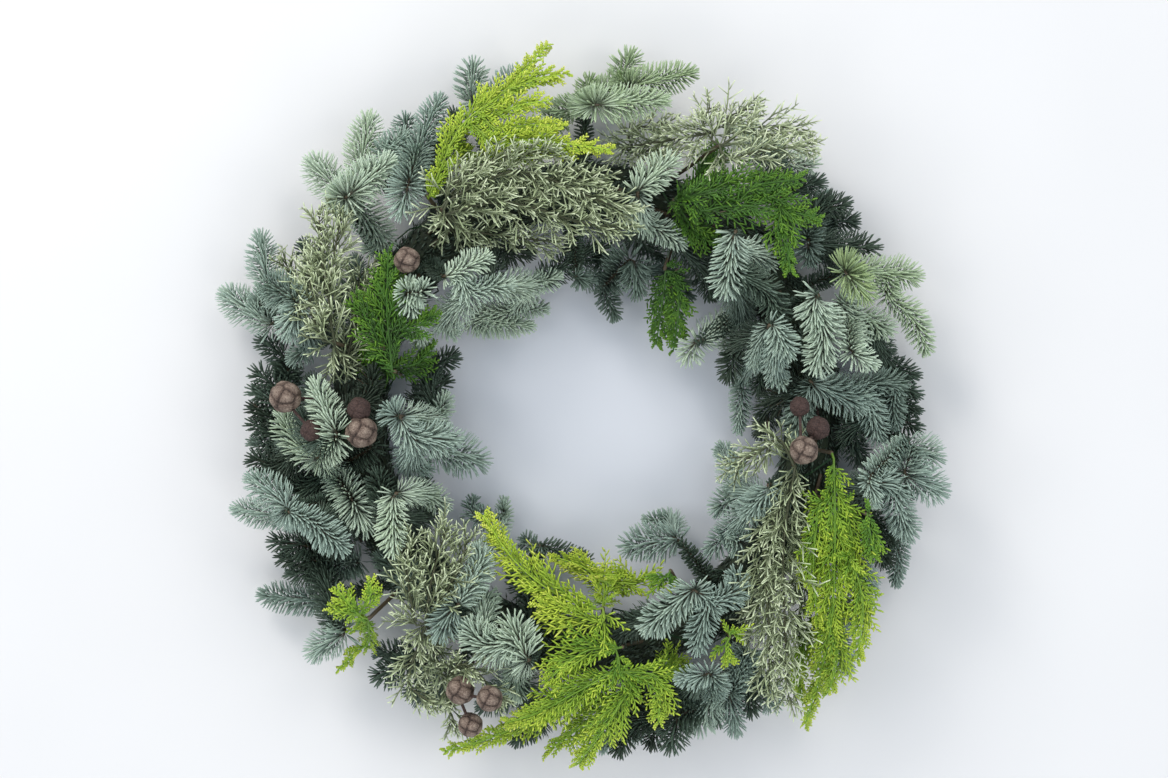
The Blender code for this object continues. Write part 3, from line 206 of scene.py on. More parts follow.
    ("cypress_right_olive", FAN, "olive", "olive", (
        (3, 20, (232, -62), (236, -92), (242, -124)),)),
    ("thread_top_left", THREAD, "grey", "grey", (
        (3, 36, (-135, 170), (-60, 205), (0, 185), (38, 172)),
        (3, 34, (-135, 165), (-70, 180), (-10, 165), (35, 155)),
        (3, 32, (-130, 180), (-75, 216), (-20, 222)), (2, 30, (-130, 160), (-80, 156), (-20, 150)),
        (3, 30, (-60, 190), (-15, 202), (20, 196)), (3, 28, (-125, 178), (-98, 200), (-80, 216)))),
    ("thread_top_right", THREAD, "grey", "cream", (
        (3, 36, (95, 215), (140, 245), (193, 245)), (3, 34, (100, 212), (150, 225), (200, 232)),
        (3, 34, (95, 218), (115, 250), (150, 268)), (3, 28, (90, 222), (98, 245), (107, 270)),
        (2, 32, (18, 232), (48, 228), (80, 225)), (2, 28, (20, 238), (50, 250), (78, 254)))),
    ("thread_left", THREAD, "grey", "grey", (
        (3, 36, (-205, 40), (-215, 100), (-205, 177)), (3, 34, (-208, 45), (-228, 85), (-232, 140)),
        (2, 32, (-208, 30), (-196, 75), (-190, 130)), (2, 26, (-230, 92), (-250, 116), (-262, 140)),
        (3, 30, (-214, 90), (-222, 140), (-226, 180)))),
    ("thread_bottom_left", THREAD, "grey", "grey", (
        (3, 34, (-135, -190), (-130, -140), (-115, -85)),
        (3, 32, (-138, -190), (-148, -140), (-150, -95)), (3, 30, (-130, -165), (-106, -125), (-98, -95)),
        (2, 30, (-130, -200), (-120, -235), (-112, -275)),
        (3, 28, (-120, -195), (-88, -215), (-68, -240)),
        (3, 26, (-140, -196), (-150, -222), (-122, -245)))),
    ("thread_right", THREAD, "grey", "grey", (
        (3, 34, (178, -20), (165, -100), (166, -170), (170, -246)),
        (3, 30, (175, -10), (150, -25), (119, -44)),
        (3, 34, (172, -60), (150, -105), (152, -165), (155, -236)),
        (2, 28, (168, -115), (146, -150), (135, -186)), (2, 28, (178, -80), (184, -130), (181, -192)))),
)

# Cones on their stalks: name, (centre x, centre y, diameter) of each.
CONE_BUNCHES = (
    ("cones_left_outer", ((-251, 18, 27), (-229, -10, 18))),
    ("cones_left_inner", ((-187, -11, 27), (-189, 8, 20))),
    ("cones_bottom", ((-105, -227, 24), (-80, -232, 22), (-97, -257, 21))),
    ("cones_right", ((180, -26, 24), (193, -8, 20), (178, 10, 17))),
    ("cone_upper_left", ((-149, 132, 22),)),
)
print(len(SPRAYS), "sprays with", sum(len(shoots) for *_, shoots in SPRAYS), "shoots")

# %% [markdown]
# ## Curves and distances
#
# Each twig is a smooth curve through a few places. A Catmull-Rom curve passes through all its
# points, so a place written in the table is a place the twig goes through. To keep twigs apart, the
# straight pieces of all curves placed so far are kept in plain arrays, and one distance table gives
# the nearest of them for many points at once.

# %% Smooth curves
def unit(vectors):
    """Vectors of length 1."""
    return vectors / np.maximum(np.linalg.norm(vectors, axis=-1, keepdims=True), 1e-9)


def smooth_path(points, step):
    """Points every step or so along a smooth curve through the given points."""
    points = np.asarray(points, float)
    ends = np.vstack([2 * points[0] - points[1], points, 2 * points[-1] - points[-2]])
    pieces = []
    for a, b, c, d in zip(ends[:-3], ends[1:-2], ends[2:-1], ends[3:]):
        count = max(1, round(float(np.linalg.norm(c - b)) / step))
        t = np.linspace(0, 1, count, endpoint=False)[:, None]
        bend = (c - a) * t + (2 * a - 5 * b + 4 * c - d) * t**2 + (3 * b - a - 3 * c + d) * t**3
        pieces.append(b + bend / 2)
    return np.vstack([*pieces, points[-1:]])


def path_length(path):
    """The sum of the lengths of a path's straight pieces."""
    return np.linalg.norm(np.diff(path, axis=0), axis=1).sum()


def close_points(path, step=3.0):
    """Points every step or so along the straight pieces of a path."""
    return np.vstack([
        np.linspace(a, b, max(2, int(np.linalg.norm(b - a) / step) + 1))
        for a, b in zip(path[:-1], path[1:])
    ])


bend = smooth_path([(0, 0, 0), (30, 0, 0), (30, 40, 0)], 5.0)
print("a bend through three places:", len(bend), "points,", round(path_length(bend), 1), "mm")

# %% Distances to everything placed so far
# Sprays and bunches are owners 0 and up.
WIRE_OWNER = -1
BED_OWNER = -2

# How far round a shoot, a cone, a fork, a stem and a link the other twigs are looked for.
SHOOT_VIEW, CONE_VIEW, FORK_VIEW, STEM_VIEW, LINK_VIEW = 70.0, 60.0, 40.0, 25.0, 10.0
FAR_AWAY = 1000.0


def distances(points, starts, ends):
    """The distance from every point to every straight piece, as a table."""
    along = ends - starts
    squares = np.maximum((along**2).sum(1), 1e-9)
    from_start = points[:, None] - starts[None]
    share = np.clip((from_start * along).sum(2) / squares, 0, 1)
    return np.linalg.norm(from_start - share[..., None] * along, axis=2)


origin, end_of_x, point = np.array([(0, 0, 0), (9, 0, 0), (5, 3, 4)])[:, None]
print("the point (5, 3, 4) is", distances(point, origin, end_of_x)[0, 0], "from the x axis")

# %% A store of everything placed
class Placed:
    """Every rod and ball placed so far: straight pieces with a radius, an owner and a twig number."""

    def __init__(self):
        self.starts = np.zeros((0, 3))
        self.ends = np.zeros((0, 3))
        self.radii = np.zeros(0)
        self.owners = np.zeros(0, int)
        self.twigs = np.zeros(0, int)

    def add(self, path, radius, owner, twig=-1):
        path = np.asarray(path, float)
        count = len(path) - 1
        self.starts = np.vstack([self.starts, path[:-1]])
        self.ends = np.vstack([self.ends, path[1:]])
        self.radii = np.append(self.radii, np.full(count, float(radius)))
        self.owners = np.append(self.owners, np.full(count, owner))
        self.twigs = np.append(self.twigs, np.full(count, twig))

    def near(self, points, reach, owner, twig=None):
        """Those within reach of the points' box, without the owner's, or without one of its twigs."""
        low = np.min(points, axis=0) - reach
        high = np.max(points, axis=0) + reach
        inside = (np.maximum(self.starts, self.ends) > low).all(1)
        inside &= (np.minimum(self.starts, self.ends) < high).all(1)
        own = self.owners == owner
        inside &= ~own if twig is None else ~(own & (self.twigs == twig))
        found = Placed()
        found.starts, found.ends, found.radii = (
            self.starts[inside], self.ends[inside], self.radii[inside]
        )
        return found

    def gaps(self, points):
        """The open distance from each point to the nearest surface."""
        if not len(self.radii):
            return np.full(len(points), FAR_AWAY)
        return (distances(points, self.starts, self.ends) - self.radii).min(1)

# %% [markdown]
# ## The ring's surface
#
# The ring is a D-shaped section carried round a circle of thirty-six straight stretches. Stems lie
# on it, so a point on it is given by an angle round the ring and a share across its front.

# %% Points on and off the ring
# The straw ring's section: a flat back, leaning sides up to the shoulder, and an arch over it.
RING_RADIUS = 200.0
RING_HALF_WIDTH = 24.0
RING_HEIGHT = 42.0
RING_BACK_HALF_WIDTH = 19.0
RING_SHOULDER = 13.0
ARCH_POINTS = 7
RING_STEPS = 36


def ring_section():
    """The ring's section from the inner back corner over the front, as (across, height)."""
    arch = [
        (RING_HALF_WIDTH * math.cos(a), RING_SHOULDER + (RING_HEIGHT - RING_SHOULDER) * math.sin(a))
        for a in np.linspace(math.pi, 0, ARCH_POINTS)
    ]
    return np.array([(-RING_BACK_HALF_WIDTH, 0.0), *arch, (RING_BACK_HALF_WIDTH, 0.0)])


SECTION = ring_section()


def section_normals():
    """The outward direction of each flat of the section, its closing back included."""
    along = np.roll(SECTION, -1, axis=0) - SECTION
    return unit(np.stack([-along[:, 1], along[:, 0]], axis=1))


def flatness(angle):
    """How much nearer the centre the ring's straight stretches are than a true circle."""
    stretch = 2 * math.pi / RING_STEPS
    return math.cos(stretch / 2) / np.cos(np.mod(angle, stretch) - stretch / 2)


def ring_gap(points):
    """How far each point is outside the ring's surface, or less."""
    angle = np.arctan2(points[:, 1], points[:, 0])
    across = np.hypot(points[:, 0], points[:, 1]) / flatness(angle) - RING_RADIUS
    flat = np.stack([across, points[:, 2]], axis=1)
    return ((flat[:, None] - SECTION) * section_normals()).sum(2).max(1)


def on_ring(angle, share, lift):
    """A point above the front of the ring: angle round it, share across it from inside to outside."""
    arch = SECTION[1:-1]
    place = share * (len(arch) - 1)
    low = np.minimum(place.astype(int), len(arch) - 2)
    part = (place - low)[..., None]
    spot = arch[low] * (1 - part) + arch[low + 1] * part
    corner = unit(section_normals()[:-2] + section_normals()[1:-1])
    normal = unit(corner[low] * (1 - part) + corner[low + 1] * part)
    spot = spot + normal * lift
    radius = (RING_RADIUS + spot[..., 0]) * flatness(angle)
    return np.stack([radius * np.cos(angle), radius * np.sin(angle), spot[..., 1]], axis=-1)


print("the ring's section has", len(SECTION), "corners and is", SECTION[:, 1].max(), "mm high")

# %% The wire's route
# The stems that lie between ring and wire.
STEM_RADIUS = 1.7
STALK_RADIUS = 1.3
SEAT_GAP = 0.5  # between a stem's end and the ring
SEAT_LENGTH = 18.0
STEM_STEP = 18.0
LEAST_GAP = 0.3
SHORTEST_LINK = 6.0
LINK_STEP = 5.0

# The wire, wound loosely enough to pass over the stems.
WIRE_RADIUS = 0.8
WIRE_TURNS = 13
WIRE_STEM_GAP = 0.4
WIRE_LIFT = SEAT_GAP + 2 * STEM_RADIUS + WIRE_STEM_GAP + WIRE_RADIUS
WIRE_SLANT = (0.04, 0.96)  # where a turn crosses the front, as shares of the pitch
WIRE_SIDE_GAP = 1.5
WIRE_FLOOR_GAP = 0.3


def wire_path():
    """Once round the ring's section for each turn: straight across the back, slanting over the front."""
    shares = np.linspace(0.0, 1.0, ARCH_POINTS)
    pitch = 2 * math.pi / WIRE_TURNS
    back = RING_BACK_HALF_WIDTH + WIRE_SIDE_GAP
    low = WIRE_RADIUS + WIRE_FLOOR_GAP
    points = []
    for turn in range(WIRE_TURNS):
        start = turn * pitch
        angles = start + pitch * np.linspace(*WIRE_SLANT, len(shares))
        points.append(on_ring(angles, shares, WIRE_LIFT))
        if turn < WIRE_TURNS - 1:
            for across in (back, -back):
                radius = RING_RADIUS + across
                end = start + pitch
                points.append([[radius * math.cos(end), radius * math.sin(end), low]])
    return np.vstack(points)


wire = wire_path()
print("the wire is", round(path_length(wire)), "mm long")

# %% [markdown]
# ## Laying the shoots
#
# Like a florist, the script lays the lowest shoots first. Each shoot takes its height from the
# rounded body of the wreath, and is raised in steps of one millimetre until it clears the rest.

# %% Heights
# The wreath's rounded body, which gives each shoot its height from its distance to the centre.
CREST_RADIUS = 205.0
CREST_HEIGHT = 100.0
BODY_HALF_WIDTH = 126.0
EDGE_HEIGHT = 24.0
OVER_RING_HEIGHT = 52.0
OVER_RING_WIDTH = 36.0
LOW_HEIGHT = 16.0
LEVEL_SHARE = {1: 0.04, 2: 0.5, 3: 1.0}  # of the way from the lowest place up to the surface
CONE_RISE = 4.0

# How far a shoot's needles reach past its twig's end: shares of its width and of its last stretch.
NEEDLES_AHEAD = 0.3
MOST_AHEAD = 0.4


def resting_height(radius):
    """The lowest a twig's axis lies at this distance from the centre: on the bound ring, or beside it."""
    over = np.exp(-(((radius - RING_RADIUS) / OVER_RING_WIDTH) ** 4))
    return LOW_HEIGHT + (OVER_RING_HEIGHT - LOW_HEIGHT) * over


def body_height(radius):
    """The height of the wreath's rounded outer surface at this distance from the centre."""
    share = np.clip(1 - ((radius - CREST_RADIUS) / BODY_HALF_WIDTH) ** 2, 0, 1)
    return EDGE_HEIGHT + (CREST_HEIGHT - EDGE_HEIGHT) * np.sqrt(share)


def shoot_axis(level, width, places, kind):
    """The twig's curve in space. The needles at its end reach on past it to the last place."""
    flat = np.array(places, float)
    last = flat[-1] - flat[-2]
    length = np.linalg.norm(last)
    reach = min(NEEDLES_AHEAD * width, MOST_AHEAD * length)
    flat[-1] -= last / length * reach
    radius = np.linalg.norm(flat, axis=1)
    low = resting_height(radius)
    high = np.maximum(body_height(radius), low)
    height = low + (high - low) * LEVEL_SHARE[level]
    points = np.column_stack([flat, height])
    return smooth_path(points, min(kind["step"], path_length(flat) / 2))


print("body height at 100, 200 and 300 mm:", body_height(np.array((100, 200, 300))).round())

# %% Raising each shoot until it is clear
# The most that a shoot is raised, and clearances.
HIGHEST_LIFT = 60.0
LAY_GAP = 5.0
STEM_GAP = 0.8
NEEDLE_GAP = 1.2
FLOOR_GAP = 1.2


def lay(axis, radius, owner, placed):
    """Raises a shoot until it clears everything below it."""
    others = placed.near(axis, SHOOT_VIEW, owner)
    points = close_points(axis)
    lift = 0.0
    while lift < HIGHEST_LIFT:
        raised = points + (0.0, 0.0, lift)
        if min(others.gaps(raised).min(), ring_gap(raised).min()) - radius >= LAY_GAP:
            break
        lift += 1.0
    return axis + (0.0, 0.0, lift)

# %% All shoots, the lowest first
def lay_all(placed):
    """The axes of all shoots, the lowest level first, as {spray: [axis, ...]}."""
    axes = {}
    for level in (1, 2, 3):
        for owner, (name, kind, *_, shoots) in enumerate(SPRAYS):
            for index, (shoot_level, width, *places) in enumerate(shoots):
                if shoot_level != level:
                    continue
                axis = lay(shoot_axis(level, width, places, kind), kind["core"], owner, placed)
                placed.add(axis, kind["core"], owner, index)
                axes.setdefault(name, {})[index] = axis
    return {name: [found[i] for i in sorted(found)] for name, found in axes.items()}

# %% The cones on top
def lay_cones(placed):
    """The centres of the cones of each bunch, raised until they clear the shoots below."""
    bunches = []
    for index, (_, cones) in enumerate(CONE_BUNCHES):
        owner = len(SPRAYS) + index
        centres = []
        for x, y, diameter in cones:
            height = float(body_height(np.array(math.hypot(x, y)))) + CONE_RISE
            centre = np.array((x, y, height))
            others = placed.near(centre[None], CONE_VIEW, owner)
            while others.gaps(centre[None])[0] - diameter / 2 < STEM_GAP:
                centre = centre + (0.0, 0.0, 1.0)
            centres.append(centre)
        for centre, (_, _, diameter) in zip(centres, cones):
            placed.add([centre, centre + (0.0, 0.0, 0.01)], diameter / 2, owner)
        bunches.append(centres)
    return bunches

# %% [markdown]
# ## Stems
#
# Every spray ends in one stem that runs down between the others and lies along the ring under the
# wire. The route is searched: a few hundred candidates, each with a cost in millimetres.

# %% Gaps along a route
# What a route pays, in millimetres of length: for a link that is too short, and for each millimetre
# that it lies too near another twig, more in a stem; for leaving a shoot against its direction; and
# as a share of the way to the feet's middle.
CROSSING_COST = 200
STEM_CROSSING_COST = 600
BACKWARD_COST = 25.0
MIDDLE_COST = 0.3


def path_gap(points, radius, others):
    """The least open distance round a rod of this radius along the points."""
    open_air = others.gaps(points).min() - radius
    above_floor = points[:, 2].min() - radius - FLOOR_GAP
    return min(open_air, ring_gap(points).min() - radius, above_floor)


def link_gap(start, end, others):
    """The open distance round a straight link."""
    return path_gap(close_points(np.array([start, end])), STEM_RADIUS, others)

# %% Where a spray forks
# The places tried for a spray's fork: their steps, their numbers, and which of them is the middle;
# then the most that the middle is shifted towards the ring, and how far it lies below the foot.
FORK_STEP = (7.0, 7.0, 6.0)
FORK_PLACES = (5, 5, 6)
FORK_MIDDLE = (2, 2, 3)
FORK_SHIFT = 12
FORK_DROP = 6


def fork_place(feet, owner, placed):
    """Where a spray's stem ends: near the first foot, towards the ring, in the clear."""
    foot, middle = feet[0], np.mean(feet, axis=0)
    radius = max(np.hypot(foot[0], foot[1]), 1.0)
    inward = np.clip(RING_RADIUS - radius, -FORK_SHIFT, FORK_SHIFT) / radius * foot * (1, 1, 0)
    inward = inward - (0, 0, FORK_DROP)
    others = placed.near(np.vstack([foot, foot + inward]), FORK_VIEW, owner)
    best, best_cost = None, np.inf
    for shift in np.ndindex(FORK_PLACES):
        place = foot + inward + (np.array(shift) - FORK_MIDDLE) * FORK_STEP
        gap = link_gap(place, foot, others)
        cost = np.linalg.norm(foot - place) + MIDDLE_COST * np.linalg.norm(middle - place)
        cost += CROSSING_COST * max(0.0, STEM_GAP - gap)
        if cost < best_cost:
            best, best_cost = place, cost
    return best

# %% Where each shoot leaves its spray
def starts_of(axes, fork, kind, owner, placed):
    """Where each shoot leaves the spray: the nearest clear place on the fork or an earlier shoot."""
    starts = [fork]
    placed.add([fork, axes[0][1]], kind["core"], owner, 0)
    for index, axis in enumerate(axes[1:], 1):
        foot, ahead = axis[1], unit(axis[2] - axis[1])
        earlier = [close_points(other[1:-1], LINK_STEP)[1:-1] for other in axes[:index] if len(other) > 3]
        places = np.vstack([[fork], *earlier])
        others = placed.near(np.vstack([places, [foot]]), LINK_VIEW, owner)
        costs = []
        for place in places:
            link = foot - place
            length = np.linalg.norm(link)
            cost = length + CROSSING_COST * max(0.0, STEM_GAP - link_gap(place, foot, others))
            cost += BACKWARD_COST * (link @ ahead < 0)
            costs.append(cost + CROSSING_COST * (length < SHORTEST_LINK))
        start = places[int(np.argmin(costs))]
        starts.append(start)
        placed.add([start, foot], kind["core"], owner, index)
    return starts

# %% The way down to the ring
# The stems tried: turns back round the ring, shares across it, and the bend's height and place.
STEM_TURNS = np.linspace(0.0, 0.36, 10)
STEM_SHARES = np.linspace(0.0, 1.0, 9)
STEM_RISES = (10.0, 20.0)
STEM_BENDS = (0.3, 0.6)


def stem_path(fork, owner, placed):
    """A free way from the fork down to the ring, ending in a run along its surface, under the wire."""
    around = math.atan2(fork[1], fork[0])
    run = SEAT_LENGTH / RING_RADIUS
    corners = on_ring(around + np.array([0.0, 0.5]), np.array([0.0, 1.0]), 10.0)
    others = placed.near(np.vstack([fork, corners]), STEM_VIEW, owner)
    best, best_cost = None, np.inf
    for back in STEM_TURNS:
        for share in STEM_SHARES:
            angles = around + back + np.array([0.0, run])
            seat = on_ring(angles, np.full(2, share), STEM_RADIUS + SEAT_GAP)
            if path_gap(close_points(seat), STEM_RADIUS, others) < LEAST_GAP:
                continue
            for rise in STEM_RISES:
                for ahead in STEM_BENDS:
                    bend = on_ring(np.array([around + back * ahead]), np.array([share]), rise)
                    path = smooth_path(np.vstack([fork, bend, seat]), STEM_STEP)
                    gap = path_gap(close_points(path), STEM_RADIUS, others)
                    cost = path_length(path) + STEM_CROSSING_COST * max(0.0, LEAST_GAP - gap)
                    if cost < best_cost:
                        best, best_cost = path, cost
    return best

# %% The routes of sprays and cones
def route_sprays(axes, placed):
    """The start of each shoot and the stem of each spray."""
    routes = []
    for owner, (name, kind, *_) in enumerate(SPRAYS):
        feet = [axis[1] for axis in axes[name]]
        fork = fork_place(feet, owner, placed)
        starts = starts_of(axes[name], fork, kind, owner, placed)
        stem = stem_path(fork, owner, placed)
        placed.add(stem, STEM_RADIUS, owner)
        routes.append((starts, stem))
    return routes


def route_cones(bunches, placed):
    """The stalks of each bunch's cones, which meet in one stem."""
    routes = []
    for index, centres in enumerate(bunches):
        owner = len(SPRAYS) + index
        fork = fork_place(centres, owner, placed)
        stalks = [np.array([fork, centre]) for centre in centres]
        for stalk in stalks:
            placed.add(stalk, STALK_RADIUS, owner)
        stem = stem_path(fork, owner, placed)
        placed.add(stem, STEM_RADIUS, owner)
        routes.append((stalks, stem))
    return routes

# %% [markdown]
# ## The bed
#
# Seen from the front, the table's shoots leave gaps, which the real wreath closes with short dark
# shoots deeper down. Their darker tone here is painted shade. They are too many and too hidden to
# place one by one. So a rule tries a short shoot every 13 mm along seven circles, and keeps it where
# the view is open, where it fits below the surface, and where a clear link leads to a neighbouring
# spray.

# %% Candidates for the bed
# The bed: short shoots that fill the gaps between the others, wherever one fits.
BED_WIDTH = 28.0
BED_LENGTH = 50.0
BED_STEP = 13.0
BED_RADII = (205, 222, 188, 239, 171, 254, 156)
BED_FAN = 0.95  # the most that a shoot turns off clockwise, in radians
BED_FAN_WIDTH = 50.0  # how far from the ring's middle line it turns that much
BED_OPEN = 9.0  # the least mean distance to the twigs that counts as a gap
BED_POINTS = 7
BED_OVER = 4.0  # how far a shoot may stand out of the body

# The opening's box, and how far bed shoots keep off it.
HOLE = ((-70.0, -80.0), (106.0, 46.0))
HOLE_MARGIN = 12.0


def bed_line(angle, radius):
    """Foot and tip of a bed shoot: clockwise, fanned outwards outside the ring's middle, inwards inside."""
    fan = BED_FAN * np.clip((radius - RING_RADIUS) / BED_FAN_WIDTH, -1, 1)
    outward = np.array((math.cos(angle), math.sin(angle)))
    clockwise = np.array((math.sin(angle), -math.cos(angle)))
    foot = radius * outward
    return foot, foot + BED_LENGTH * (math.cos(fan) * clockwise + math.sin(fan) * outward)


def fills_gap(foot, tip, twigs):
    """True if a shoot from foot to tip would mostly cover what the twigs leave bare, seen from above."""
    points = np.linspace(foot, tip, BED_POINTS)[1:]
    flat = np.column_stack([points, np.zeros(len(points))])
    low, high = np.array(HOLE[0]) - HOLE_MARGIN, np.array(HOLE[1]) + HOLE_MARGIN
    in_hole = ((points > low) & (points < high)).all(1)
    starts = np.vstack([axis[:-1] for axis in twigs]) * (1, 1, 0)
    ends = np.vstack([axis[1:] for axis in twigs]) * (1, 1, 0)
    return not in_hole.any() and distances(flat, starts, ends).min(1).mean() > BED_OPEN

# %% The link to a neighbouring spray
# A hull that spans the opening: from how near it counts, how much is let pass, and how many points
# of a line are tried.
SPAN_MARGIN = 22.0
SPAN_SLACK = 1.0
SPAN_POINTS = 25

# The links of bed shoots to their sprays: their longest length, the least share of it that goes the
# shoot's way, how many are tried, and the clearance of the bend's inside, where needles cross it.
LONGEST_LINK = 70.0
FORWARD_SHARE = 0.2
LINK_TRIES = 40
WEB_GAP = 3.0
WEB_STEPS = 6


def hole_distance(points):
    """How far points lie from the opening's box, seen from above."""
    outside = np.maximum(np.array(HOLE[0]) - points[..., :2], points[..., :2] - np.array(HOLE[1]))
    return np.linalg.norm(np.maximum(outside, 0.0), axis=-1)


def spans_hole(points, outline):
    """True if a straight line between the points and the outline's comes nearer to the opening than
    its ends do, so that a plain hull round both would reach into it."""
    shares = np.linspace(0, 1, SPAN_POINTS)[:, None, None, None]
    lines = (1 - shares) * points[None, :, None] + shares * outline[None, None]
    gaps = hole_distance(lines)
    allowed = np.minimum(np.minimum(gaps[0], gaps[-1]), SPAN_MARGIN)
    return bool((gaps.min(0) < allowed - SPAN_SLACK).any())


def web(start, foot, ahead):
    """Points spread over the triangle of three places, where the first needles reach across the bend."""
    steps = [(i, j) for i in range(WEB_STEPS + 1) for j in range(WEB_STEPS + 1 - i)]
    return np.array([foot + (i * (start - foot) + j * (ahead - foot)) / WEB_STEPS for i, j in steps])

# %% The nearest clear place to grow from
def bed_link(line, axes, outlines, placed):
    """The nearest clear place on a fir shoot to grow from, as (owner, place), or nothing."""
    foot, ahead = line[1], unit(line[2] - line[1])
    found = []
    for owner, (name, kind, *_) in enumerate(SPRAYS):
        if kind is not FIR or spans_hole(line[1:], outlines[owner]):
            continue
        for axis in axes[name]:
            if len(axis) < 4:
                continue
            places = close_points(axis[1:-1], LINK_STEP)[1:-1]
            links = foot - places
            lengths = np.linalg.norm(links, axis=1)
            keep = (lengths < LONGEST_LINK) & (lengths > SHORTEST_LINK)
            keep &= links @ ahead > FORWARD_SHARE * lengths
            found += [(length, owner, *place) for length, place in zip(lengths[keep], places[keep])]
    for _, owner, *place in sorted(found)[:LINK_TRIES]:
        place = np.array(place)
        others = placed.near(np.vstack([place, line[1:3]]), LINK_VIEW, owner)
        if link_gap(place, foot, others) < STEM_GAP:
            continue
        if others.gaps(web(place, foot, line[2])).min() >= WEB_GAP:
            return owner, place
    return None

# %% Growing the bed
def grow_bed(axes, placed):
    """Short fir shoots in the gaps, each grown from the nearest spray, as {owner: [(axis, start), ...]}."""
    bed = {owner: [] for owner in range(len(SPRAYS))}
    twigs = [axis for found in axes.values() for axis in found]
    outlines = [np.vstack(axes[name]) for name, *_ in SPRAYS]
    for radius in BED_RADII:
        count = int(2 * math.pi * radius / BED_STEP)
        for angle in np.arange(count) * 2 * math.pi / count:
            foot, tip = bed_line(angle, radius)
            if not fills_gap(foot, tip, twigs):
                continue
            axis = lay(shoot_axis(1, BED_WIDTH, (foot, tip), BED), BED["core"], BED_OWNER, placed)
            over = axis[:, 2] - np.maximum(body_height(np.hypot(axis[:, 0], axis[:, 1])), OVER_RING_HEIGHT)
            if over.max() > BED_OVER:
                continue
            found = bed_link(axis, axes, outlines, placed)
            if found is None:
                continue
            owner, place = found
            index = len(SPRAYS[owner][-1]) + len(bed[owner])
            placed.add([place, *axis[1:]], BED["core"], owner, index)
            bed[owner].append((axis, place))
            outlines[owner] = np.vstack([outlines[owner], axis[1:]])
            twigs.append(axis)
    return bed

# %% Lay everything
placed = Placed()
placed.add(wire, WIRE_RADIUS, WIRE_OWNER)
axes = lay_all(placed)
cone_centres = lay_cones(placed)
spray_routes = route_sprays(axes, placed)
cone_routes = route_cones(cone_centres, placed)
bed = grow_bed(axes, placed)
print("bed shoots:", sum(map(len, bed.values())))
print("laid", sum(map(len, axes.values())), "shoots and", sum(map(len, cone_centres)), "cones")

# %% [markdown]
# ## Meshes from arrays
#
# Needles, scale twigs and threads are all thin closed blades. Modelling one and instancing it would
# lose it in an export, so every blade is worked out as real faces: arrays of roots, directions and
# lengths go in, and arrays of corners and triangles come out. A blade has six triangles for each of
# its rings, of which it has one to three.
#
# Each piece has a UV map that the materials read. Across it (u) runs the share along the blade, and
# up it (v) the tone of the blade, so thousands of blades share one small chart of colours.

# %% A store for one piece's triangles
class Growth:
    """The corners, triangles and chart places of one piece, gathered as arrays."""

    def __init__(self):
        self.points, self.faces, self.chart, self.count = [], [], [], 0

    def add(self, points, faces, chart):
        """Adds one closed surface, or many of the same build: points are (many, corners, 3)."""
        points = points.reshape(-1, points.shape[-2], 3)
        many, corners = points.shape[:2]
        shift = self.count + np.arange(many)[:, None, None] * corners
        self.points.append(points.reshape(-1, 3))
        self.faces.append((faces[None] + shift).reshape(-1, 3))
        self.chart.append(np.broadcast_to(chart, (many, corners, 2)).reshape(-1, 2))
        self.count += many * corners

# %% Triangles of a closed tube
def tube_triangles(rings, sides):
    """Corner 0 is the root, then come the rings, and the last corner is the tip."""
    ring, side = np.meshgrid(np.arange(rings - 1), np.arange(sides), indexing="ij")
    a = 1 + ring * sides + side
    b = 1 + ring * sides + (side + 1) % sides
    walls = np.stack([a, b, b + sides, a, b + sides, a + sides], axis=-1).reshape(-1, 3)
    around = np.arange(sides)
    first, last = 1 + around, 1 + (rings - 1) * sides + around
    turned = (around + 1) % sides
    root = np.stack([np.zeros(sides, int), 1 + turned, first], axis=1)
    tip = np.stack([last, 1 + (rings - 1) * sides + turned, np.full(sides, 1 + rings * sides)], axis=1)
    return np.vstack([root, walls, tip])


print("triangles with one to three rings:", [len(tube_triangles(rings, 3)) for rings in (1, 2, 3)])

# %% Curved blades
BLADE_SIDES = 3
CHART_WIDTH = 0.008  # how much the tone differs from side to side of a blade

# The shapes: rings at shares of the length, and how much of its width a blade has at each.
NEEDLE = ((0.35, 0.88), (1.0, 0.75))
SIDE_TWIG = ((0.1, 0.45, 0.8), (0.9, 1.0, 0.8))
TWIGLET = ((0.3, 0.8), (1.0, 0.8))
WHIP = ((0.1, 0.5, 0.93), (1.0, 0.95, 0.8))
FORK = ((0.12, 0.9), (1.0, 0.85))
RING_BLADE = ((0.5,), (1.2,))


def bent_line(roots, begin, end, lengths, shares):
    """Places and directions at shares s of blades that leave along begin and turn steadily to end:
    root + length * ((s - s*s/2) * begin + s*s/2 * end)."""
    early, late = shares - shares**2 / 2, shares**2 / 2
    reach = early[:, None] * begin[:, None] + late[:, None] * end[:, None]
    along = unit((1 - shares[:, None]) * begin[:, None] + shares[:, None] * end[:, None])
    return roots[:, None] + lengths[:, None, None] * reach, along


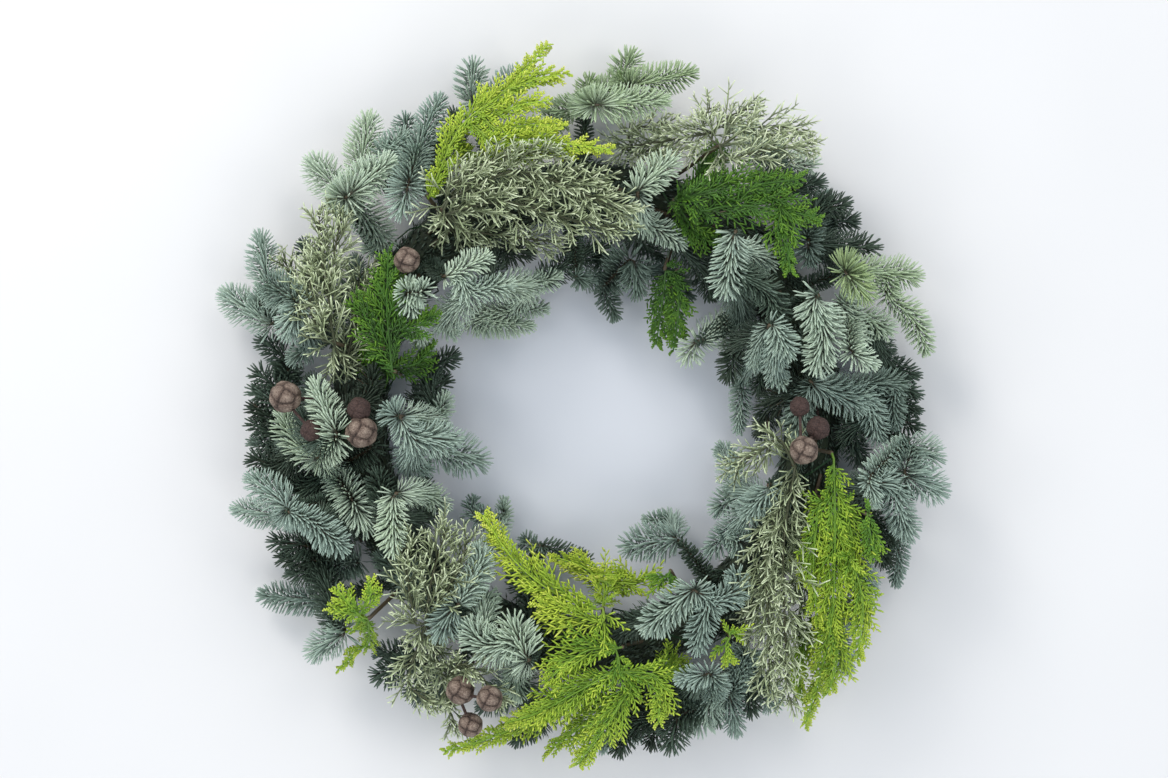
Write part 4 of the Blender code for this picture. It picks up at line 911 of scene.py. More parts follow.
def blades(growth, roots, begin, end, lengths, width, depth, up, tones, shape):
    """Thin closed blades along bent lines. Round the line goes an oval at each ring of the shape:
    width across and depth up, times the swell there."""
    rings, swell = shape
    middle, along = bent_line(roots, begin, end, lengths, np.concatenate([[0.0], rings, [1.0]]))
    along = along[:, 1:-1]
    side = unit(np.cross(along, np.broadcast_to(up, begin.shape)[:, None]))
    rise = np.cross(side, along)
    angles = math.pi / 2 + np.arange(BLADE_SIDES) * 2 * math.pi / BLADE_SIDES
    across = np.cos(angles)[:, None] * side[:, :, None] * (width / 2)
    upward = np.sin(angles)[:, None] * rise[:, :, None] * (depth / 2)
    oval = middle[:, 1:-1, None] + (across + upward) * np.asarray(swell)[None, :, None, None]
    many = len(roots)
    points = np.concatenate([middle[:, :1], oval.reshape(many, -1, 3), middle[:, -1:]], axis=1)
    u = np.concatenate([[0.02], np.repeat(np.asarray(rings, float), BLADE_SIDES), [0.98]])
    v = np.concatenate([[0.0], np.tile(np.cos(angles), len(rings)), [0.0]]) * CHART_WIDTH
    chart = np.stack([np.broadcast_to(u, (many, len(u))), tones[:, None] + v], axis=-1)
    growth.add(points, tube_triangles(len(rings), BLADE_SIDES), chart)

# %% Twigs and stems
TWIG_SIDES = 6
BARK = (0.02, 0.07)  # the band of tones that is bark


def across_path(path):
    """Direction, side and rise at each point. The side is square to the path and to the normal of the
    flattest plane through it, so it never flips over."""
    ahead = unit(np.gradient(path, axis=0))
    plane = np.linalg.svd(path - path.mean(0))[2][-1]
    side = unit(np.cross(ahead, plane))
    return ahead, side, np.cross(side, ahead)


def twig(growth, path, radii, chart_band=BARK):
    """A closed round twig along a path: a circle of the given radius at each point, and a tip of one
    millimetre at each end."""
    ahead, side, rise = across_path(path)
    angles = np.arange(TWIG_SIDES) * 2 * math.pi / TWIG_SIDES
    round_it = np.cos(angles)[:, None] * side[:, None] + np.sin(angles)[:, None] * rise[:, None]
    rings = path[:, None] + round_it * np.broadcast_to(radii, len(path))[:, None, None]
    points = np.vstack([path[0] - ahead[0], rings.reshape(-1, 3), path[-1] + ahead[-1]])
    share = np.linspace(0.02, 0.98, len(path))
    u = np.concatenate([[0.0], np.repeat(share, TWIG_SIDES), [1.0]])
    wave = 0.5 + 0.5 * np.cos(angles)
    v = np.concatenate([[0.5], np.tile(wave, len(path)), [0.5]])
    chart = np.stack([u, chart_band[0] + (chart_band[1] - chart_band[0]) * v], axis=-1)
    growth.add(points[None], tube_triangles(len(path), TWIG_SIDES), chart)


def thinning_twig(growth, path, foot, tip, chart_band=BARK):
    """A twig along every third point of a fine path, with one radius at its foot and one at its tip."""
    line = path[::3] if len(path) > 8 else path
    twig(growth, line, np.linspace(foot, tip, len(line)), chart_band)

# %% [markdown]
# ## Noble fir
#
# A noble fir shoot is a dense brush. The needles are flat and blunt, about 20 mm long and 2 mm wide.
# They leave the twig at its sides and on top and sweep forward, so that from the front the twig is
# hidden. They look combed: those of one row lie nearly parallel, which gives the pale stripes with
# dark gaps that the photograph shows.

# %% How far a needle may grow
TWIG_REACH = 1.6  # taken off the distance to a needle's own twig


def needle_free_length(roots, directions, lengths, own, others):
    """How far each needle may reach before it is half-way to another twig, the ring or the table."""
    allowed = np.zeros(len(roots))
    open_so_far = np.ones(len(roots), bool)
    for share in np.linspace(0.15, 1.0, 14):
        points = roots + directions * (lengths * share)[:, None]
        to_own = distances(points, own[:-1], own[1:]).min(1) - TWIG_REACH
        to_others = others.gaps(points)
        free = to_others - to_own >= NEEDLE_GAP
        free &= ring_gap(points) >= WIRE_LIFT + WIRE_RADIUS + NEEDLE_GAP
        free &= points[:, 2] >= FLOOR_GAP
        open_so_far &= free
        allowed = np.where(open_so_far, share, allowed)
    return allowed * lengths

# %% Places along a path
def at_shares(path, shares):
    """Point, direction, side and rise at each share of a path's length. The side is level, with a
    small push that gives it a direction where the path goes straight up."""
    steps = np.linalg.norm(np.diff(path, axis=0), axis=1)
    whole = np.concatenate([[0.0], np.cumsum(steps)])
    place = shares * whole[-1]
    points = np.stack([np.interp(place, whole, path[:, k]) for k in range(3)], axis=1)
    slope = np.gradient(path, axis=0)
    ahead = unit(np.stack([np.interp(place, whole, slope[:, k]) for k in range(3)], axis=1))
    level = np.cross(ahead, (0.0, 0.0, 1.0)) + 0.02 * np.array((1.0, 0.3, 0.0))
    side = unit(level - ahead * (level * ahead).sum(1, keepdims=True))
    return points, ahead, side, np.cross(side, ahead)

# %% The needles of one shoot
NEEDLE_ROW = 3.15
ROW_TURNS = np.radians((-34.0, -4.0, 25.0, 53.0, 80.0, 107.0, 135.0, 164.0, 204.0))
NEXT_ROW_TURN = math.radians(13.0)
NEEDLE_LENGTH = 0.76  # as a share of the shoot's width
NEEDLE_WIDTH = 2.05
NEEDLE_DEPTH = 0.9
SIDE_LEAN = 85  # degrees from the twig's direction
UPPER_LEAN = 53
SHORTEST_NEEDLE = 0.8  # as a share of its wanted length, where another twig is in the way


def fir_shoot(growth, path, width, others, tone, random):
    """Combed rows: row i sits at share i/rows, and its needles leave at fixed turns round the twig,
    shifted a little in every other row. A needle's direction is cos(lean) ahead plus sin(lean)
    outwards. Those at the sides stand nearly square to the twig, which gives stripes across the shoot,
    and the upper ones lie forward over the twig and hide it."""
    rows = max(5, int(path_length(path) / NEEDLE_ROW))
    row, turn = np.meshgrid(np.arange(rows), ROW_TURNS, indexing="ij")
    turn = (turn + (row % 2) * NEXT_ROW_TURN + random.normal(0, 0.05, row.shape)).ravel()
    shares = 0.03 + 0.96 * (row + 0.12 * random.normal(0, 1, row.shape) + 0.3).ravel() / rows
    shares = np.clip(shares, 0, 1)
    count = len(shares)
    points, ahead, side, rise = at_shares(path, shares)
    out = unit(np.cos(turn)[:, None] * side + (0.1 + 0.9 * np.sin(turn))[:, None] * rise)
    end_part = np.clip((shares - 0.84) / 0.16, 0, 1)
    over = np.clip(np.sin(turn), 0, 1)
    lean = (SIDE_LEAN - (SIDE_LEAN - UPPER_LEAN) * over**2) * (1 - 0.75 * end_part**1.6)
    lean = np.radians(lean + random.normal(0, 2.5, count))
    begin = np.cos(lean)[:, None] * ahead + np.sin(lean)[:, None] * out
    sweep = 0.34 + 0.3 * over
    end = unit(begin + sweep[:, None] * ahead + (0.5 * (1 - end_part))[:, None] * rise
               + random.normal(0, 0.035, (count, 3)))
    taper = 0.82 + 0.18 * np.sin(math.pi * np.clip(shares * 1.15, 0, 1))
    lengths = NEEDLE_LENGTH * width * taper * random.uniform(0.94, 1.04, count) * (1 - 0.34 * end_part)
    own = path[:: max(1, len(path) // 8)]
    free = needle_free_length(points, unit(begin + end), lengths, own, others)
    lengths = np.maximum(free, SHORTEST_NEEDLE * lengths)
    tones = tone + random.normal(0, 0.02, count)
    up = rise + 0.5 * ahead
    blades(growth, points, begin, end, lengths, NEEDLE_WIDTH, NEEDLE_DEPTH, up, tones, NEEDLE)
    thinning_twig(growth, path, 1.5, 0.9)

# %% [markdown]
# ## Flat cypress
#
# A frond of flat cypress branches like a feather in one plane: a rachis, side twigs left and right in
# turn, and short scale-covered twiglets on those. The twiglets are about 2 mm wide. The tips are the
# young growth and the lightest.

# %% A flat frond
TWIG_STEP = 3.0
TWIG_WIDTH, TWIG_DEPTH = 1.6, 0.9
TWIG_LEAN = 38
TWIGLETS = 7
TWIGLET_WIDTH, TWIGLET_DEPTH = 2.0, 0.8
SHORTEST_TWIGLET = 1.6


def frond_layer(growth, path, width, tone, tip_tone, tilt, random):
    """Side twig i leaves at share i/count, left and right in turn, at 38 degrees, and bends forward.
    Its own twiglets leave it the same way, and shorten towards its tip."""
    count = max(8, int(path_length(path) / TWIG_STEP))
    shares = np.linspace(0.04, 0.99, count) + random.uniform(-0.3, 0.3, count) / count
    points, ahead, side, rise = at_shares(path, np.clip(shares, 0, 1))
    tilt = np.radians(tilt + random.normal(0, 14, count))
    flat_side = np.cos(tilt)[:, None] * side + np.sin(tilt)[:, None] * rise
    normal = np.cross(flat_side, ahead)
    hand = np.where(np.arange(count) % 2 == 0, 1.0, -1.0)[:, None]
    outline = np.clip(0.55 + 1.6 * shares, 0, 1) * np.clip(1.28 * (1 - shares) + 0.3, 0, 1)
    lengths = 1.1 * width * outline * random.uniform(0.55, 1.15, count)
    lean = np.radians(TWIG_LEAN + random.normal(0, 9, count))[:, None]
    begin = np.cos(lean) * ahead + np.sin(lean) * hand * flat_side + random.normal(0, 0.07, (count, 3))
    end = unit(begin + 0.55 * ahead + random.normal(0, 0.16, (count, 3)) - (0.0, 0.0, 0.1))
    begin = unit(begin)
    tones = tone + (tip_tone - tone) * shares * 0.5 + random.normal(0, 0.03, count)
    blades(growth, points, begin, end, lengths, TWIG_WIDTH, TWIG_DEPTH, normal, tones, SIDE_TWIG)
    part = (np.arange(TWIGLETS) + 0.8) / (TWIGLETS + 0.6)
    start, along = bent_line(points, begin, end, lengths, part)
    sideways = unit(np.cross(np.broadcast_to(normal[:, None], along.shape), along))
    turn = np.where(np.arange(TWIGLETS) % 2 == 0, 1.0, -1.0)[:, None]
    lean = math.radians(TWIG_LEAN)
    out = math.cos(lean) * along + math.sin(lean) * turn * sideways
    out = unit(out + random.normal(0, 0.08, out.shape))
    short = lengths[:, None] * (0.42 - 0.22 * part) * random.uniform(0.75, 1.15, (count, TWIGLETS))
    keep = short > SHORTEST_TWIGLET
    second = unit(out + 0.35 * along)
    fine = tones[:, None] + (tip_tone - tone) * 0.5 * part + random.normal(0, 0.04, short.shape)
    up = np.broadcast_to(normal[:, None], out.shape)[keep]
    blades(growth, start[keep], out[keep], second[keep], short[keep], TWIGLET_WIDTH, TWIGLET_DEPTH,
           up, fine[keep], TWIGLET)

# %% A frond of two layers
# A frond's layers: tilt in degrees, share of the width, change of tone (painted shade on the lower one).
LAYERS = ((-12.0, 1.0, 0.0), (28.0, 0.9, -0.1))


def frond(growth, path, width, tone, tip_tone, random):
    """Two feathers on one rachis, as in a full bunch: a darker one, painted shade, tilted under the first.
    """
    for tilt, part, under_shade in LAYERS:
        frond_layer(growth, path, part * width, max(0.13, tone + under_shade), tip_tone + under_shade,
                    tilt + random.uniform(-12, 12), random)
    thinning_twig(growth, path, 1.0, 0.6, (tone - 0.02, tone + 0.02))

# %% [markdown]
# ## Thread-like cypress
#
# This foliage is round whips, about 1.5 mm thick, forking like coral in all directions, grey-green
# with pale young ends.

# %% Coral-like threads
GOLDEN_ANGLE = math.radians(137.508)
THREAD_STEP = 2.05
THREAD_WIDTH = 1.45
FORKS = 6
FORK_TURN = 2.4
FORK_WIDTH = 0.92 * THREAD_WIDTH
SHORTEST_FORK = 2.0
LYING = np.array((1.0, 1.0, 0.55))  # whips spread less up and down than sideways
THREAD_TWIG = (0.12, 0.2)


def threads(growth, path, width, tone, tip_tone, random):
    """Whips leave the twig every few millimetres at turns of the golden angle, and each forks in turn
    along its length. Whips and forks bend at random. The last forks are the palest."""
    count = max(6, int(path_length(path) / THREAD_STEP))
    shares = np.linspace(0.03, 1.0, count)
    points, ahead, side, rise = at_shares(path, shares)
    turn = np.arange(count) * GOLDEN_ANGLE + random.normal(0, 0.3, count)
    out = unit(np.cos(turn)[:, None] * side + (0.05 + 0.6 * np.sin(turn))[:, None] * rise)
    lean = np.radians(random.uniform(28, 62, count) * (1 - 0.4 * shares**3))[:, None]
    begin = unit(np.cos(lean) * ahead + np.sin(lean) * out)
    bend = random.normal(0, 0.36, (count, 3)) * LYING
    end = unit(begin + bend + 0.2 * ahead - (0.0, 0.0, 0.12))
    lengths = 0.9 * width * random.uniform(0.5, 1.2, count) * (1 - 0.3 * shares**4)
    tones = tone + random.normal(0, 0.05, count)
    blades(growth, points, begin, end, lengths, THREAD_WIDTH, THREAD_WIDTH, rise, tones, WHIP)
    part = 0.22 + 0.74 * (np.arange(FORKS) + 0.3) / FORKS
    start, along = bent_line(points, begin, end, lengths, part)
    angle = random.uniform(0, 2 * math.pi, (count, 1)) + np.arange(FORKS) * FORK_TURN
    one = unit(np.cross(along, rise[:, None] + 0.1))
    two = np.cross(one, along)
    sideways = np.cos(angle)[..., None] * one + np.sin(angle)[..., None] * two
    away = unit(along * 0.8 + (sideways * 0.8 + random.normal(0, 0.12, along.shape)) * LYING)
    short = lengths[:, None] * (0.62 - 0.34 * part) * random.uniform(0.6, 1.15, (count, FORKS))
    keep = short > SHORTEST_FORK
    second = unit(away + 0.3 * along + random.normal(0, 0.3, along.shape) * LYING)
    fine = tones[:, None] + (tip_tone - tone) * (0.3 + 0.7 * part) + random.normal(0, 0.05, short.shape)
    blades(growth, start[keep], away[keep], second[keep], short[keep], FORK_WIDTH, FORK_WIDTH,
           sideways[keep], fine[keep], FORK)
    thinning_twig(growth, path, 1.2, 0.7, THREAD_TWIG)

# %% [markdown]
# ## Cones
#
# The small round cones are balls of thirteen shield-shaped scales that meet in fine grooves, each
# with a low boss in its middle. A ball whose radius depends on the nearest scale's middle gives that
# in one formula.

# %% A round cone
CONE_AROUND = 44
CONE_UP = 26
CONE_SCALES = 13

# Depths and heights as shares of the radius, widths and reach as angles in radians.
GROOVE_DEPTH, GROOVE_WIDTH = 0.11, 0.11
BOSS_HEIGHT, BOSS_WIDTH = 0.05, 0.11
SCALE_FALL, SCALE_REACH = 0.03, 0.6


def cone(growth, centre, diameter, tone, random):
    """Radius = half the diameter * (1 - groove + boss): the groove deepens where the two nearest
    scale middles are equally near, and the boss rises at a scale's middle."""
    golden = np.arange(CONE_SCALES) * GOLDEN_ANGLE
    level = 1 - 2 * (np.arange(CONE_SCALES) + 0.5) / CONE_SCALES
    flat = np.sqrt(1 - level**2)
    middles = np.stack([flat * np.cos(golden), flat * np.sin(golden), level], axis=1)
    middles = unit(middles + random.normal(0, 0.06, middles.shape))
    polar = np.linspace(0, math.pi, CONE_UP + 2)[1:-1]
    around = np.arange(CONE_AROUND) * 2 * math.pi / CONE_AROUND
    polar, around = np.meshgrid(polar, around, indexing="ij")
    ball = np.stack([np.sin(polar) * np.cos(around), np.sin(polar) * np.sin(around), np.cos(polar)], -1)
    ball = np.concatenate([[(0.0, 0.0, 1.0)], ball.reshape(-1, 3), [(0.0, 0.0, -1.0)]])
    angles = np.sort(np.arccos(np.clip(ball @ middles.T, -1, 1)), axis=1)
    nearest, next_nearest = angles[:, 0], angles[:, 1]
    groove = GROOVE_DEPTH * np.exp(-(((next_nearest - nearest) / GROOVE_WIDTH) ** 2))
    boss = BOSS_HEIGHT * np.exp(-((nearest / BOSS_WIDTH) ** 2))
    boss = boss - SCALE_FALL * (nearest / SCALE_REACH) ** 2
    radius = diameter / 2 * (1.0 - groove + boss)
    points = centre + ball * radius[:, None]
    v = tone + 0.05 * ball[:, 0]
    u = np.clip(0.5 + 4 * (boss - groove), 0.02, 0.98)
    growth.add(points[None], tube_triangles(CONE_UP, CONE_AROUND)[:, ::-1], np.stack([u, v], axis=-1))

# %% [markdown]
# ## Materials
#
# The maths of a material is written as Python expressions. One small class wraps a socket, so that
# a sum or a product of two of them adds the Math node that it needs. Colours go through Mix nodes.

# %% Sockets that can be used in sums
class Value:
    """A number that varies over the surface. What is reckoned with it becomes Math nodes."""

    def __init__(self, sheet, socket):
        self.sheet, self.socket = sheet, socket

    def maths(self, operation, first, second):
        return Value(self.sheet, self.sheet.node(
            "ShaderNodeMath", {"operation": operation}, {0: first, 1: second}).outputs[0])

    def __add__(self, other):
        return self.maths("ADD", self, other)

    def __rsub__(self, other):
        return self.maths("SUBTRACT", other, self)

    def __mul__(self, other):
        return self.maths("MULTIPLY", self, other)

    def __pow__(self, other):
        return self.maths("POWER", self, other)

    def __gt__(self, other):
        return self.maths("GREATER_THAN", self, other)

# %% A sheet of nodes
class Sheet:
    """One material's nodes, with its Principled shader."""

    def __init__(self, name, roughness, metallic=0.0):
        self.material = bpy.data.materials.new(name)
        self.material.use_nodes = True
        self.nodes = self.material.node_tree.nodes
        self.links = self.material.node_tree.links
        self.shader = self.nodes["Principled BSDF"]
        self.shader.inputs["Roughness"].default_value = roughness
        self.shader.inputs["Metallic"].default_value = metallic

    def node(self, kind, settings=None, sockets=None):
        """Adds a node, sets its settings, and feeds its sockets with numbers, colours or links."""
        made = self.nodes.new(kind)
        for key, setting in (settings or {}).items():
            if key == "stops":
                self.set_stops(made.color_ramp, setting)
            else:
                setattr(made, key, setting)
        for key, value in (sockets or {}).items():
            self.feed(made.inputs[key], value)
        return made

    def set_stops(self, ramp, stops):
        """Replaces a ramp's stops by (position, colour) pairs."""
        while len(ramp.elements) > 1:
            ramp.elements.remove(ramp.elements[-1])
        for index, (position, colour) in enumerate(stops):
            element = ramp.elements[0] if index == 0 else ramp.elements.new(position)
            element.position = position
            element.color = (*colour, 1.0)

    def feed(self, socket, value):
        if isinstance(value, Value):
            self.links.new(value.socket, socket)
        elif isinstance(value, bpy.types.NodeSocket):
            self.links.new(value, socket)
        elif isinstance(value, tuple) and len(value) == 3 and socket.type == "RGBA":
            socket.default_value = (*value, 1.0)
        else:
            socket.default_value = value

    def chart(self):
        """The blade's share along (u) and its tone (v) from the piece's map."""
        place = self.node("ShaderNodeUVMap", {"uv_map": "OFBake"})
        split = self.node("ShaderNodeSeparateXYZ", None, {0: place.outputs[0]})
        return Value(self, split.outputs[0]), Value(self, split.outputs[1])

    def object_place(self):
        """The point's place on the object, in metres."""
        return self.node("ShaderNodeTexCoord").outputs["Object"]

    def ramp(self, value, stops):
        return self.node("ShaderNodeValToRGB", {"stops": stops}, {0: value}).outputs[0]

    def mix(self, share, first, second):
        """From the first colour at share 0 to the second at share 1."""
        made = self.node("ShaderNodeMix", {"data_type": "RGBA"}, {0: share, 6: first, 7: second})
        return made.outputs[2]

    def noise(self, place, scale, detail):
        made = self.node("ShaderNodeTexNoise", None, {"Vector": place, "Scale": scale, "Detail": detail})
        return Value(self, made.outputs[0])

    def bump(self, height, strength, distance):
        made = self.node("ShaderNodeBump", None,
                         {"Strength": strength, "Distance": distance, "Height": height})
        self.links.new(made.outputs[0], self.shader.inputs["Normal"])

    def colour(self, socket):
        self.feed(self.shader.inputs["Base Color"], socket)
        return self.material

# %% Colour values
def shade(red, green, blue):
    """A colour as read off a screen, 0 to 255, turned into the linear values that shaders use."""
    values = np.array((red, green, blue)) / 255
    linear = np.where(values <= 0.04045, values / 12.92, ((values + 0.055) / 1.055) ** 2.4)
    return tuple(float(v) for v in linear)


def colour_stops(*rows):
    """The stops of a colour ramp, from rows of position, red, green and blue."""
    return tuple((place, shade(*rgb)) for place, *rgb in rows)


print("middle grey on a screen is", round(shade(128, 128, 128)[0], 3), "in linear values")

# %% [markdown]
# ### Foliage
#
# Noble fir needles carry a pale wax bloom that turns them blue-grey. The colour is read from the
# chart: bark at the bottom, then fir tones from dark green through blue-grey and pale grey-green to
# yellow-green. Along the blade the colour goes from a darker root, painted shade where the blades
# crowd round their twig, to a paler end.

# %% Bark and foliage colours
BARK_BROWN = shade(82, 70, 52)
FIR_TONES = colour_stops(
    (0.12, 52, 66, 52), (0.22, 88, 108, 92), (0.42, 172, 194, 182),
    (0.62, 214, 232, 208), (0.80, 174, 198, 146), (0.95, 186, 204, 114))
FLAT_TONES = colour_stops(
    (0.12, 44, 76, 22), (0.22, 70, 118, 32), (0.42, 118, 164, 42),
    (0.62, 172, 204, 58), (0.82, 216, 234, 80), (0.95, 242, 246, 122))
THREAD_TONES = colour_stops(
    (0.12, 78, 76, 54), (0.30, 112, 124, 88), (0.55, 190, 206, 158),
    (0.80, 236, 248, 208), (0.95, 236, 244, 208))


BARK_LIMIT = 0.085  # tones below this one are bark


def foliage(name, tones, root_shade_share, roughness):
    """Tone from the chart's height, darkened towards the root by the share along the blade: painted shade.
    """
    sheet = Sheet(name, roughness)
    u, v = sheet.chart()
    colour = sheet.ramp(v, tones)
    # Painted shade: each blade darkens towards its root, where the blades crowd round their twig.
    root_shaded = sheet.mix((1 - u) ** 1.4 * root_shade_share, colour, tuple(0.3 * c for c in tones[1][1]))
    bark = sheet.ramp(u, ((0.0, BARK_BROWN), (1.0, tuple(0.7 * c for c in BARK_BROWN))))
    return sheet.colour(sheet.mix(v > BARK_LIMIT, bark, root_shaded))


fir_finish = foliage("fir_needles", FIR_TONES, 0.85, 0.5)
flat_finish = foliage("flat_scales", FLAT_TONES, 0.6, 0.5)
thread_finish = foliage("thread_scales", THREAD_TONES, 0.8, 0.6)
print("foliage finishes:", fir_finish.name, flat_finish.name, thread_finish.name)

# %% [markdown]
# ### Cones, wrap and wire
#
# The cones are dry and fibrous: fine noise colours the ball and gives it a fine bump. The ring is
# wound with dark green, grainy florist's tape. The wire is lacquered green.

# %% Cone finish
YOUNG_TONE, BETWEEN_TONES, OLD_TONE = 0.3, 0.4, 0.6


def cone_finish():
    """Brown in the grooves and tan on the scales, broken by fine fibres. The young ones are maroon."""
    sheet = Sheet("cone_scales", 0.8)
    place = sheet.object_place()
    u, v = sheet.chart()
    fibre = sheet.noise(place, 900.0, 6.0)
    blotch = sheet.noise(place, 160.0, 3.0)
    colour = sheet.ramp(fibre * 0.4 + blotch * 0.15 + u * 0.45, colour_stops(
        (0.26, 44, 32, 28), (0.44, 104, 86, 76), (0.60, 160, 142, 128)))
    maroon = sheet.ramp(fibre, colour_stops((0.3, 38, 25, 24), (0.7, 88, 66, 60)))
    sheet.bump(fibre, 0.8, 0.0009)
    return sheet.colour(sheet.mix(v > BETWEEN_TONES, maroon, colour))

# %% Wrap and wire finishes
def wrap_finish():
    """Dark green tape with a fine grain."""
    sheet = Sheet("ring_wrap", 0.75)
    place = sheet.object_place()
    grain = sheet.noise(place, 220.0, 5.0)
    colour = sheet.ramp(grain, colour_stops((0.3, 20, 30, 18), (0.7, 44, 58, 34)))
    sheet.bump(grain, 0.4, 0.001)
    return sheet.colour(colour)


def wire_finish():
    """Green lacquer over steel wire, uneven in tone."""
    sheet = Sheet("green_wire", 0.35, 0.6)
    grain = sheet.noise(sheet.object_place(), 400.0, 2.0)
    return sheet.colour(sheet.ramp(grain, colour_stops((0.35, 24, 54, 30), (0.75, 56, 84, 52))))


cone_scales, ring_tape, green_wire = cone_finish(), wrap_finish(), wire_finish()
print("other finishes:", cone_scales.name, ring_tape.name, green_wire.name)

# %% [markdown]
# ## The pieces
#
# Each spray becomes one mesh that stands for its CAD node. The mesh is written in one go from the
# arrays, and its place is in its corners, so the object itself stays at the origin.

# %% From arrays to an object
MM = 0.001
OUTLINE_MIDDLE = np.array((-6.0, 13.0, 0.0))  # moved to the origin when the meshes are made

FINISHES = {"fir": fir_finish, "fan": flat_finish, "thread": thread_finish}
made_triangles = {}


def piece(name, growth, material, stands_for=True):
    """Makes the object, lets it ride on the root body and hides the CAD node that it stands for."""
    points = (np.concatenate(growth.points) - OUTLINE_MIDDLE) * MM
    faces = np.concatenate(growth.faces)
    chart = np.concatenate(growth.chart)
    mesh = bpy.data.meshes.new(name + "_fine")
    mesh.vertices.add(len(points))
    mesh.vertices.foreach_set("co", points.ravel().astype(np.float32))
    mesh.loops.add(faces.size)
    mesh.loops.foreach_set("vertex_index", faces.ravel().astype(np.int32))
    mesh.polygons.add(len(faces))
    mesh.polygons.foreach_set("loop_start", np.arange(0, faces.size, 3, dtype=np.int32))
    mesh.polygons.foreach_set("use_smooth", np.ones(len(faces), bool))
    mesh.update(calc_edges=True)
    layer = mesh.uv_layers.new(name="OFBake")
    layer.data.foreach_set("uv", chart[faces].ravel().astype(np.float32))
    mesh.materials.append(material)
    made = bpy.data.objects.new(name + "_fine", mesh)
    bpy.context.scene.collection.objects.link(made)
    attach(made, "root")
    if stands_for:
        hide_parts(name)
    made_triangles[name] = len(faces)

# %% Grow the sprays
SEED = 5  # of every random draw

# Tones on the chart: one for fir, and for the others one at the foot and one at the tips.
# Bed and dark: darker greens, painted shade for shoots and stem needles that lie low under the others.
FIR_TONE = {"bed": 0.2, "dark": 0.27, "blue": 0.42, "pale": 0.58, "green": 0.76}
FLAT_TONE = {"leaf": (0.2, 0.44), "mid": (0.32, 0.66), "olive": (0.32, 0.6), "lime": (0.46, 0.9),
             "gold": (0.6, 0.95)}
THREAD_TONE = {"grey": (0.32, 0.85), "cream": (0.4, 0.95)}
TONE_SPREAD = 0.045
FINE_STEP = 2.5
NEEDLE_VIEW = 12.0  # how far past a shoot's width the other twigs are looked for

# The short needles round a fir spray's stem.
STEM_BRUSH = 14.0
BRUSH_STEP = 4.0
BRUSH_VIEW = 30.0


def grow(owner, route):
    """All shoots of one spray, with its stem."""
    name, kind, slot, own_tint, shoots = SPRAYS[owner]
    starts, stem = route
    random = np.random.default_rng((SEED, owner))
    growth = Growth()
    twig(growth, stem, STEM_RADIUS)
    if kind is FIR:
        way = smooth_path(stem[::-1], BRUSH_STEP)
        others = placed.near(way, BRUSH_VIEW, owner)
        fir_shoot(growth, way, STEM_BRUSH, others, FIR_TONE["bed"], random)
    lines = [(axis, start, own_tint, width)
             for axis, start, (_, width, *_) in zip(axes[name], starts, shoots)]
    lines += [(axis, start, "bed", BED_WIDTH) for axis, start in bed[owner]]
    for index, (axis, start, tint, width) in enumerate(lines):
        path = smooth_path(np.vstack([start, axis[1:]]), FINE_STEP)
        if kind is FIR:
            others = placed.near(axis, width + NEEDLE_VIEW, owner, index)
            tone = FIR_TONE[tint] + random.normal(0, TONE_SPREAD)
            fir_shoot(growth, path, width, others, tone, random)
        elif kind is FAN:
            frond(growth, path, width, *FLAT_TONE[tint], random)
        else:
            threads(growth, path, width, *THREAD_TONE[tint], random)
    piece(name, growth, FINISHES[kind["finish"]])


for owner, route in enumerate(spray_routes):
    grow(owner, route)
print("sprays:", len(made_triangles), "pieces,", sum(made_triangles.values()), "triangles")

# %% Grow the cones
YOUNG_CONE = 20.5  # smaller ones are young
CONE_SEED = 100

for index, ((name, cones), centres, (stalks, stem)) in enumerate(
        zip(CONE_BUNCHES, cone_centres, cone_routes)):
    random = np.random.default_rng((SEED, CONE_SEED + index))
    growth = Growth()
    twig(growth, stem, STEM_RADIUS)
    for stalk in stalks:
        twig(growth, np.linspace(stalk[0], stalk[1], 5), STALK_RADIUS)
    for centre, (_, _, diameter) in zip(centres, cones):
        cone(growth, centre, diameter, OLD_TONE if diameter > YOUNG_CONE else YOUNG_TONE, random)
    piece(name, growth, cone_scales)
print("all:", len(made_triangles), "pieces,", sum(made_triangles.values()), "triangles")
for kind, label in ((FIR, "fir"), (FAN, "flat cypress"), (THREAD, "thread cypress")):
    counts = [made_triangles[name] for name, own_kind, *_ in SPRAYS if own_kind is kind]
    print(label, sum(counts), "triangles, at most", max(counts), "in a piece")

# %% [markdown]
# ### Greens on the ring
#
# Where the foliage parts, the photograph never shows a smooth ring but short dark greens. Small
# blades are spread evenly over the ring's front by area, and lie clockwise like the rest. Their dark
# tones are painted shade, deep under the foliage.

# %% Short greens over the ring's front
RING_BLADES = 7000
BLADE_LENGTH = (6.0, 11.0)
# Painted shade: the blades get the darkest fir tones, deep under the foliage.
SHADED_BLADE_TONE = (0.1, 0.26)
RING_SEED = 200
FACING_UP = 0.1


